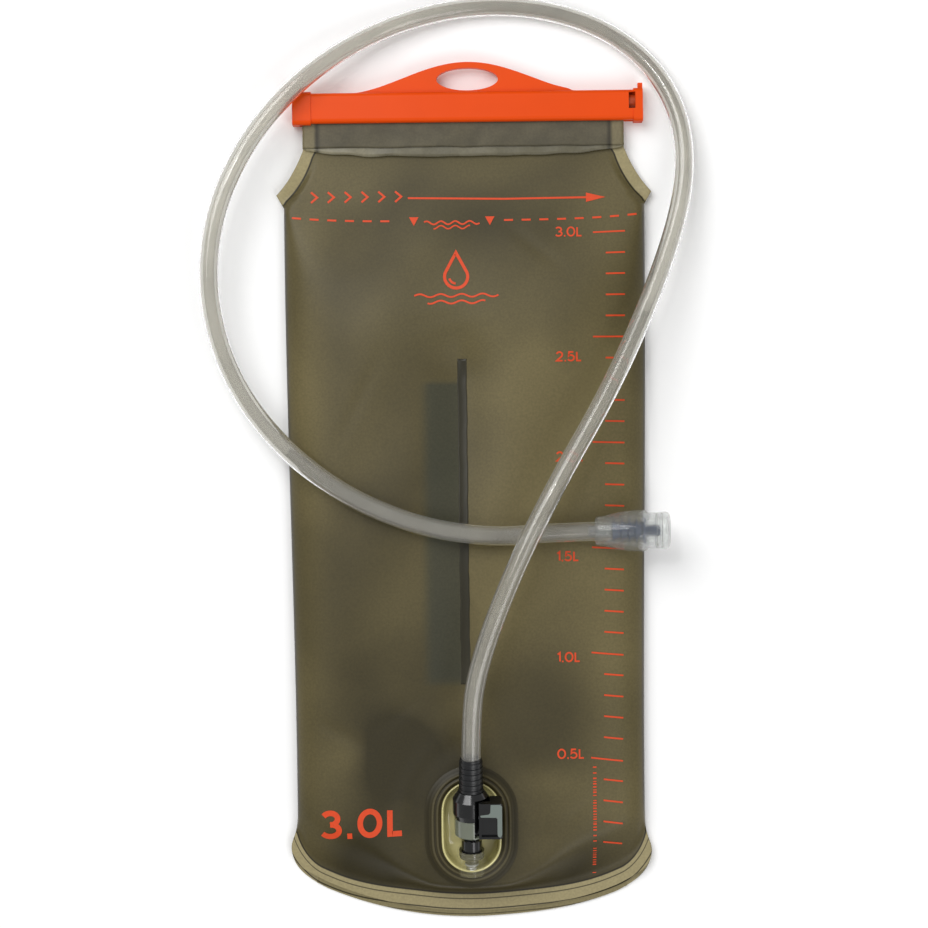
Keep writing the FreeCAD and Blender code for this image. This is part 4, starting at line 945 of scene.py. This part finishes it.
@dataclass
class Print:
    """Orange marks on the front film: volume scale, fill line, arrow and drop."""

    shape: BagShape
    lift: float = 0.16
    scale_top_y: float = 124.9
    scale_low_y: float = -173.0
    litre_pitch: float = 102.5
    scale_right_x: float = 76.1
    scale_lean: float = 0.0164
    long_tick: float = 15.6
    short_tick: float = 9.4
    tick_width: float = 0.8
    label_height: float = 5.0
    capacity_height: float = 14.2
    fill_y: float = 131.2

    def build(self) -> None:
        """Print each group of marks as one thin layer of ink."""
        self.ink = ORANGE_INK.build()
        self.volume_scale()
        self.capacity()
        self.fill_line()
        self.seal_arrow()
        self.drop_mark()
        self.fine_marks()

    def layer(self, name: str, ribbons: list[tuple[list, float]],
              fills: Sequence[list] = ()) -> None:
        """Lay ribbons and filled shapes of ink on the film.

        Args:
            name: Name of the piece.
            ribbons: Centre line and width of each stroke.
            fills: Fans of points round their first point.
        """
        points: list[tuple[float, float]] = []
        faces: list[tuple[int, ...]] = []
        lifts: list[float] = []
        for index, (line, width) in enumerate(ribbons):
            dense = self.dense(line)
            across = self.mitred(dense) * width / 2
            start = len(points)
            for middle, side in zip(dense, across):
                points += [tuple(middle - side), tuple(middle + side)]
            lifts += [0.02 * (index % 3)] * (2 * len(dense))
            faces += [(start + 2 * i, start + 2 * i + 2, start + 2 * i + 3, start + 2 * i + 1)
                      for i in range(len(dense) - 1)]
        for outline in fills:
            start = len(points)
            points += [tuple(p) for p in outline]
            lifts += [0.06] * len(outline)
            count = len(outline) - 1
            faces += [(start, start + 1 + i, start + 1 + (i + 1) % count) for i in range(count)]
        flat = np.array(points)
        z = self.shape.front_z(flat[:, 0], flat[:, 1]) + self.lift + np.array(lifts)
        add_piece(name, np.column_stack([flat, z]), faces, RESERVOIR, self.ink)
        LOG.info("%s: %d faces", name, len(faces))

    @staticmethod
    def dense(line: Sequence[tuple[float, float]], pitch: float = 1.2) -> np.ndarray:
        """Points along a run of straight lines, closer together than pitch.

        Args:
            line: Corners of the run.
            pitch: Longest step in millimetres.

        Returns:
            The points, with every corner among them.
        """
        found = [np.asarray(line[0], float)]
        for low, high in zip(line, line[1:]):
            low, high = np.asarray(low, float), np.asarray(high, float)
            parts = max(1, math.ceil(float(np.linalg.norm(high - low)) / pitch))
            found += [low + (high - low) * k / parts for k in range(1, parts + 1)]
        return np.array(found)

    @staticmethod
    def mitred(line: np.ndarray) -> np.ndarray:
        """Sideways reach at each point, longer at corners so that they stay square.

        Args:
            line: Points of a stroke's centre line.

        Returns:
            A vector to one side at each point, of length one on straight runs.
        """
        closed = np.linalg.norm(line[0] - line[-1]) < 1e-6
        ahead = np.diff(line, axis=0)
        ahead /= np.linalg.norm(ahead, axis=1, keepdims=True)
        normal = np.stack([-ahead[:, 1], ahead[:, 0]], 1)
        first, last = (normal[-1:], normal[:1]) if closed else (normal[:1], normal[-1:])
        into, out = np.concatenate([first, normal]), np.concatenate([normal, last])
        joint = into + out
        joint /= np.maximum(np.linalg.norm(joint, axis=1, keepdims=True), 1e-6)
        return joint / np.maximum((joint * out).sum(1, keepdims=True), 0.4)

    @staticmethod
    def glyphs(text: str, x: float, y: float, height: float, width: float,
               gap: float = 0.2, lean: float = 0.0) -> list[tuple[list, float]]:
        """Strokes of a number on one line.

        Args:
            text: Characters that are in the list of strokes.
            x: Left end.
            y: Foot of the numerals.
            height: Height of the numerals.
            width: Width of a stroke.
            gap: Space between characters, as a share of their height.
            lean: Rise of the line for each millimetre along it.

        Returns:
            Ribbons.
        """
        strokes, reach, left = [], height - width, 0.0
        for character in text:
            advance, lines = GLYPHS[Stroke(character)]
            for line in lines:
                along = [(left + width / 2 + px * reach, width / 2 + py * reach)
                         for px, py in line]
                if len(line) == 2 and character == Stroke.POINT.value:
                    along = [(along[0][0] - width * 0.4, along[0][1]),
                             (along[1][0] + width * 0.4, along[1][1])]
                strokes.append(([(x + px, y + py + lean * px) for px, py in along], width))
            left += advance * reach + width + gap * reach
        return strokes

    def tick(self, y: float, length: float) -> tuple[list, float]:
        """One line of the scale, which droops a little more the lower it is.

        Args:
            y: Where it is along the bag.
            length: Its length.

        Returns:
            A ribbon.
        """
        right = self.scale_right_x + self.scale_lean * y
        slope = -0.045 + 0.00065 * y
        return [(right - length, y - slope * length / 2), (right, y + slope * length / 2)], \
            self.tick_width

    def volume_scale(self) -> None:
        """Graduations every tenth of a litre, with a numeral at each half litre."""
        ribbons = []
        for tenth in range(30):
            y = self.scale_top_y - self.litre_pitch * tenth / 10
            if y < self.scale_low_y:
                break
            ribbons.append(self.tick(y, self.long_tick if tenth % 5 == 0 else self.short_tick))
        labels = (("3.0L", 125.1), ("2.5L", 64.2), ("2.0L", 15.8), ("1.5L", -32.5),
                  ("1.0L", -81.4), ("0.5L", -128.3))
        for text, y in labels:
            ribbons += self.glyphs(text, 43.0 + 0.008 * y, y - self.label_height / 2,
                                   self.label_height, 0.8, 0.12)
        self.layer("volume_scale_print", ribbons)

    def capacity(self) -> None:
        """Large numeral in the lower left corner."""
        self.layer("capacity_print", self.glyphs("3.0L", -73.8, -169.0, self.capacity_height, 2.7,
                                                 0.2, 0.045))

    def fill_y_at(self, x: float) -> float:
        """Height of the fill line, which lifts towards both sides."""
        return self.fill_y + 2.3 * (abs(x) / 84) ** 4

    def fill_line(self) -> None:
        """Dashed line across the bag, with a water level sign in its middle."""
        ribbons, fills = [], []
        for index in range(-10, 10):
            x = index * 8.6 + 2.2
            if -33 < x < 17:
                continue
            ribbons.append(([(x, self.fill_y_at(x)), (x + 4.4, self.fill_y_at(x + 4.4))], 0.95))
        wave = [(x, self.fill_y - 1.0 + 0.8 * math.sin((x + 27) * 0.9))
                for x in np.linspace(-19.5, 7.5, 60)]
        low = [(x, y - 2.2) for x, y in wave[10:-10]]
        ribbons += [(wave, 0.8), (low, 0.7)]
        for x in (-24.5, 12.5):
            fills.append([(x, self.fill_y + 0.1), (x - 2.3, self.fill_y + 1.9),
                          (x + 2.3, self.fill_y + 1.9), (x, self.fill_y - 2.4)])
        self.layer("fill_line_print", ribbons, fills)

    def seal_arrow(self) -> None:
        """Row of chevrons that leads into a long arrow, the way that the bar slides shut."""
        ribbons = []
        for index in range(6):
            x = -74.5 + index * 8.2
            ribbons.append(([(x, 146.0), (x + 3.0, 143.4), (x, 140.8)], 1.0))
        ribbons.append(([(-27.3, 142.6), (20.0, 141.7), (61.0, 142.0)], 0.95))
        head = [(62.0, 142.0), (59.5, 144.3), (69.0, 142.0), (59.5, 139.7)]
        self.layer("seal_arrow_print", ribbons, [head])

    def drop_mark(self) -> None:
        """A drop of water over two waves, as a plain sign of what the bag holds."""
        cx, cy, radius = -4.2, 103.6, 5.6
        outline = arc(cx, cy, radius, radius, -215, 35, 40) + [
            (cx + 2.6, cy + 7.0), (cx, cy + 11.8), (cx - 2.6, cy + 7.0)]
        shine = arc(cx, cy, 3.4, 3.4, 195, 265, 12)
        ribbons = [(outline + outline[:1], 1.5), (shine, 1.1)]
        for level, reach in ((94.4, 20.4), (91.2, 14.0)):
            ribbons.append(([(cx + x, level + 0.75 * math.sin(x * 0.62))
                             for x in np.linspace(-reach, reach, 90)], 0.85))
        self.layer("drop_print", ribbons)

    def fine_marks(self) -> None:
        """Column of fine dots and dashes beside the lowest graduations."""
        draw = np.random.default_rng(21)
        ribbons, y, low_y = [], -135.0, -188.0
        while y > low_y:
            size = draw.uniform(0.45, 1.0)
            x = 59.9 + 0.006 * (y + 160)
            if draw.random() > 0.14:
                ribbons.append(([(x - 0.85, y), (x + 0.85, y)], size * 0.8))
            y -= size + 0.55
        self.layer("fine_dots_print", ribbons)


# ---- the port ---------------------------------------------------------------
@dataclass
class Port:
    """Film-coloured flange and clear well, in millimetres."""

    y: float = -163.0
    flange: tuple[float, float] = (42.0, 56.0)
    well: tuple[float, float] = (29.0, 44.0)
    top_z: float = 18.1
    floor_z: float = 4.6
    ramp_y: float = -172.0
    tilt: float = 17.5
    around: int = 112

    def ring(self, size: tuple[float, float], inset: float) -> np.ndarray:
        """Points of a stadium outline.

        Args:
            size: Its width and length.
            inset: How far inside it the points lie.

        Returns:
            X and Y of each point.
        """
        radius = max(size[0] / 2 - inset, 0.05)
        straight = (size[1] - size[0]) / 2
        turn = np.linspace(0, 2 * math.pi, self.around, endpoint=False)
        x = radius * np.cos(turn)
        y = radius * np.sin(turn) + straight * np.tanh(np.sin(turn) * 9)
        return np.stack([x, y + self.y], 1)

    def build(self) -> None:
        """Make the flange and the well."""
        self.flange_ring()
        self.well_tub()

    def flange_ring(self) -> None:
        """Raised ring that is welded to the film, with two ridges on it."""
        # Inset from the flange's edge, and height.
        profile = [(-1.6, 16.95), (-0.5, 17.25), (0.1, 17.7), (0.7, 17.95), (1.4, 18.05),
                   (1.75, 18.5), (2.2, 18.6), (2.65, 18.45), (2.95, 18.05), (3.7, 18.0),
                   (4.1, 18.5), (4.5, 18.6), (4.9, 18.4), (5.2, 18.0), (5.9, 17.9),
                   (6.5, 17.4), (6.7, 16.4)]
        rows = [np.column_stack([self.ring(self.flange, inset), np.full(self.around, z)])
                for inset, z in profile]
        height = np.array([z for _, z in profile])
        ridge = np.repeat(smooth_step(18.1, 18.5, height), self.around)
        line = np.repeat([0.0, 0.3, 0.4, 0, 0, 0.2, 0, 0, 0.4, 0.1, 0, 0, 0, 0.3, 0, 0.4, 0.7],
                         self.around)
        ring = add_piece("port_flange", np.concatenate(rows),
                         grid_faces(len(profile), self.around, True), RESERVOIR,
                         FRONT_FILM.build(), {"weld": ridge * 0.15, "line": line,
                                                      "shade": 1.0 + 0 * line})
        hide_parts("port_tub")

    def floor_at(self, y: np.ndarray) -> np.ndarray:
        """Height of the well's floor."""
        return self.floor_z + np.maximum(y - self.ramp_y, 0) * math.tan(math.radians(self.tilt))

    def well_tub(self) -> None:
        """Clear pit with a rounded foot, whose floor climbs along the plug."""
        rows = []
        for inset, share in ((-0.1, 1.0), (0.1, 0.97), (0.3, 0.8), (0.45, 0.55), (0.6, 0.35),
                             (0.9, 0.2), (1.5, 0.09), (2.4, 0.03), (3.6, 0.0), (6.0, 0.0),
                             (9.0, 0.0), (12.0, 0.0), (14.4, 0.0)):
            flat = self.ring(self.well, inset)
            low = self.floor_at(flat[:, 1])
            rows.append(np.column_stack([flat, low + (self.top_z - 0.4 - low) * share]))
        tub = add_piece("port_well", np.concatenate(rows), grid_faces(len(rows), self.around, True),
                        RESERVOIR, CLEAR_WELL.build())
        thicken(tub, 0.9, 1.0)
        LOG.info("port made")


# ---- the hose and its bite valve --------------------------------------------
@dataclass
class Hose:
    """Drink hose: a clear tube along a smooth route, in metres."""

    radius: float = 0.00475
    bore: float = 0.003175
    length: float = 0.94
    around: int = 28
    exit: tuple[float, float, float] = (0.0, -0.12835, 0.0323)
    route: tuple[tuple[float, float, float], ...] = (
        (0, -0.1456, 0.0269), (0, -0.115, 0.0365), (0.003, -0.086, 0.042),
        (0.021, -0.039, 0.0455), (0.043, 0.004, 0.045), (0.068, 0.046, 0.036),
        (0.087, 0.086, 0.027), (0.101, 0.122, 0.019), (0.108, 0.152, 0.014),
        (0.106, 0.181, 0.010), (0.093, 0.206, 0.0074), (0.069, 0.225, 0.0052),
        (0.038, 0.235, 0.0048), (0.005, 0.2365, 0.0048), (-0.028, 0.2295, 0.0076),
        (-0.058, 0.215, 0.014), (-0.084, 0.195, 0.019), (-0.106, 0.168, 0.022),
        (-0.121, 0.135, 0.023), (-0.125, 0.098, 0.0226), (-0.116, 0.060, 0.0224),
        (-0.095, 0.027, 0.024), (-0.063, 0.0, 0.0258), (-0.025, -0.017, 0.0256),
        (0.012, -0.023, 0.0252), (0.040, -0.0206, 0.025), (0.0693, -0.0204, 0.025))

    def path(self) -> np.ndarray:
        """Read points from the route's own smooth spline.

        Returns:
            Points along the hose, in metres.
        """
        curve = bpy.data.curves.new("hose_route", "CURVE")
        curve.dimensions = "3D"
        spline = curve.splines.new("NURBS")
        spline.points.add(len(self.route) - 1)
        for point, place in zip(spline.points, self.route):
            point.co = (*place, 1.0)
        spline.order_u = 3
        spline.use_endpoint_u = True
        curve.resolution_u = 16
        holder = bpy.data.objects.new("hose_route", curve)
        mesh = bpy.data.meshes.new_from_object(holder)
        found = np.array([v.co[:] for v in mesh.vertices], float)
        bpy.data.objects.remove(holder)
        bpy.data.meshes.remove(mesh)
        bpy.data.curves.remove(curve)
        return found

    def build(self, with_pieces: Sequence[bpy.types.Object]) -> None:
        """Args:
            with_pieces: The pieces at its far end; not used.
        """
        path = self.path()
        ahead = np.gradient(path, axis=0)
        ahead /= np.linalg.norm(ahead, axis=1, keepdims=True)
        side = np.cross(ahead[0], (0, 0, 1))
        rings = {radius: [] for radius in (self.radius, self.bore)}
        turn = np.linspace(0, 2 * math.pi, self.around, endpoint=False)
        for middle, along in zip(path, ahead):
            side = side - along * np.dot(side, along)
            side /= np.linalg.norm(side)
            up = np.cross(side, along)
            for radius, kept in rings.items():
                kept.append(middle + radius * (np.outer(np.cos(turn), side)
                                               + np.outer(np.sin(turn), up)))
        outer, inner = (np.concatenate(kept) for kept in rings.values())
        count, around = len(path), self.around
        skin = grid_faces(count, around, True)
        bore = [tuple(i + count * around for i in reversed(face)) for face in skin]
        ends = []
        for ring in (0, count - 1):
            for k in range(around):
                a, b = ring * around + k, ring * around + (k + 1) % around
                quad = (a, b, b + count * around, a + count * around)
                ends.append(tuple(reversed(quad)) if ring == 0 else quad)
        tube = add_piece("hose_tube", np.concatenate([outer, inner]) / MM, skin + bore + ends,
                         HOSE_PLUG, HOSE_TUBE.build())
        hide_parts("drink_hose")
        LOG.info("hose_tube: %d rings", count)


@dataclass
class BiteValve:
    """Silicone mouthpiece on the end of the hose, in millimetres."""

    y: float = -20.4
    z: float = 25.0
    profile: tuple[tuple[float, float], ...] = (
        (62.2, 4.9), (62.2, 5.7), (62.6, 6.0), (65.4, 6.1), (66.4, 6.4), (69.4, 7.2), (73.4, 8.1),
        (77.4, 8.6), (81.4, 8.9), (84.0, 8.95), (85.2, 8.7), (85.8, 8.0), (86.6, 7.6),
        (88.4, 7.6), (90.2, 7.7), (90.6, 7.3), (91.1, 7.3), (91.5, 7.8), (92.6, 7.9),
        (93.0, 7.5), (93.5, 7.5), (93.9, 8.0), (95.2, 8.0), (95.9, 7.7), (96.2, 7.0),
        (96.0, 5.0), (95.5, 2.4), (95.2, 0.6), (95.2, 0.05))

    def build(self) -> list[bpy.types.Object]:
        """Make the silicone body round the insert.

        Returns:
            The pieces that sit on the hose.
        """
        points, faces = lathe(self.profile)
        placed = np.stack([points[:, 2], self.y + points[:, 1], self.z + points[:, 0]], 1)
        body = add_piece("bite_silicone", placed, faces, HOSE_PLUG, SILICONE.build())
        thicken(body, 1.1, -1.0)
        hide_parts("bite_valve")
        return [body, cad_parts["bite_insert"]]


@dataclass
class ButtonSheenPlate:
    """Grey plate on the release button, painted sheen on its faces that catch the light, in
    millimetres along the plug's own axis.
    """

    origin: tuple[float, float] = (-178.9, 16.4)
    tilt: float = 17.5
    low: float = 9.9
    high: float = 10.35
    outline: tuple[tuple[float, float], ...] = (
        (9.2, 33.0), (13.4, 33.0), (14.3, 32.6), (14.7, 31.7), (14.7, 17.6), (14.3, 16.4),
        (13.3, 16.0), (12.6, 16.8), (12.4, 18.0), (12.4, 25.6), (11.9, 26.3), (4.6, 26.5),
        (4.2, 26.9), (4.3, 27.5), (8.2, 28.0), (9.0, 28.8))

    def build(self) -> None:
        """Make the plate and let it ride on the button."""
        tilt = math.radians(self.tilt)
        points = []
        for up in (self.low, self.high):
            for x, s in self.outline:
                points.append((x, self.origin[0] + s * math.cos(tilt) - up * math.sin(tilt),
                               self.origin[1] + s * math.sin(tilt) + up * math.cos(tilt)))
        count = len(self.outline)
        faces = [(i, (i + 1) % count, count + (i + 1) % count, count + i) for i in range(count)]
        faces += [tuple(range(count - 1, -1, -1)), tuple(range(count, 2 * count))]
        # Painted sheen: a grey plate over the black button's top and right faces.
        plate = add_piece("button_sheen_plate", np.array(points), faces, BUTTON,
                          BUTTON_SHEEN_GREY.build())
        plate.data.shade_flat()
        edge = plate.modifiers.new("rounded edge", "BEVEL")
        edge.width = 0.18 * MM
        edge.segments = 2


# ---- finishes of the hard parts ---------------------------------------------
HARD_PARTS: dict[str, Finish] = {
    "slider_bar": ORANGE_PLASTIC, "slider_end_cap": ORANGE_PLASTIC, "fold_rail": SHADED_RAIL_PLASTIC,
    "plug_body": BLACK_PLASTIC, "plug_collar": BLACK_PLASTIC, "plug_shroud": SMOKE_PLASTIC,
    "plug_o_ring": BLACK_RUBBER, "strain_relief": BLACK_RUBBER, "release_button": BLACK_PLASTIC,
    "button_spring": SPRING_STEEL, "poppet_spring": SPRING_STEEL, "shutoff_poppet": GREY_PLASTIC,
    "poppet_seal": BLACK_RUBBER, "port_socket": CLEAR_SOCKET, "bite_insert": INSERT_PLASTIC,
}


def dress_hard_parts() -> None:
    """Give each moulded part that stays as designed its finish."""
    for name, finish in HARD_PARTS.items():
        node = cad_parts[name]
        node.data.materials.clear()
        node.data.materials.append(finish.build())
        LOG.info("%s: %s", name, finish.name)


def squeeze_button_spring() -> None:
    """Give the button spring a mesh of its own."""
    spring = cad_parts["button_spring"]
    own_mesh(spring)


# ---- the studio -------------------------------------------------------------
@dataclass
class Studio:
    """Floor, soft lights and the camera, in metres."""

    distance: float = 1.5
    lens: float = 118.8
    centre: tuple[float, float] = (-0.0015, 0.0127)
    roll: float = -0.7
    floor_size: float = 6.0

    def camera(self) -> None:
        """Look straight down on the bag."""
        data = bpy.data.cameras.new("camera")
        data.lens = self.lens
        data.sensor_width = 36.0
        data.clip_end = 50.0
        eye = add_object("camera", data)
        eye.location = (*self.centre, self.distance)
        eye.rotation_euler = (0.0, 0.0, math.radians(self.roll))
        bpy.context.scene.camera = eye

    def floor(self) -> None:
        """Plain white table."""
        half = self.floor_size / 2
        mesh = bpy.data.meshes.new("floor")
        mesh.from_pydata([(-half, -half, 0), (half, -half, 0), (half, half, 0), (-half, half, 0)],
                         [], [(0, 1, 2, 3)])
        mesh.materials.append(FLOOR_PAPER.build())
        floor = add_object("floor", mesh)
        floor.location.z = -0.0004

    def lights(self) -> None:
        """Wide soft light from the upper left, a weaker one from the right, and a pale sky."""
        world = bpy.data.worlds.new("studio")
        world.use_nodes = True
        sky = world.node_tree.nodes["Background"]
        sky.inputs["Color"].default_value = (1.0, 1.0, 1.0, 1.0)
        sky.inputs["Strength"].default_value = 0.44
        bpy.context.scene.world = world
        for name, place, size, power in (("key", (-0.7, 0.8, 1.5), 1.1, 18.0),
                                         ("fill", (0.7, -0.9, 1.4), 1.0, 9.0),
                                         ("glint", (-0.22, 0.42, 1.5), 0.1, 1.6)):
            lamp = bpy.data.lights.new(name, "AREA")
            lamp.size = size
            lamp.energy = power
            holder = add_object(name, lamp)
            holder.location = place
            holder.rotation_euler = (-Vector(place)).to_track_quat("-Z", "Y").to_euler()

    def build(self) -> None:
        """Set up the studio and plain colour output."""
        self.camera()
        self.floor()
        self.lights()
        bpy.context.scene.view_settings.view_transform = "Standard"


def main() -> None:
    """Build every piece round the frame."""
    logging.basicConfig(level=logging.INFO, format="%(name)s: %(message)s")
    Studio().build()
    ends = BiteValve().build()
    Hose().build(ends)
    shape = BagShape()
    Bag(shape).build()
    Print(shape).build()
    Port().build()
    ButtonSheenPlate().build()
    dress_hard_parts()
    squeeze_button_spring()
    bpy.context.view_layer.update()


if __name__ == "__main__":
    main()
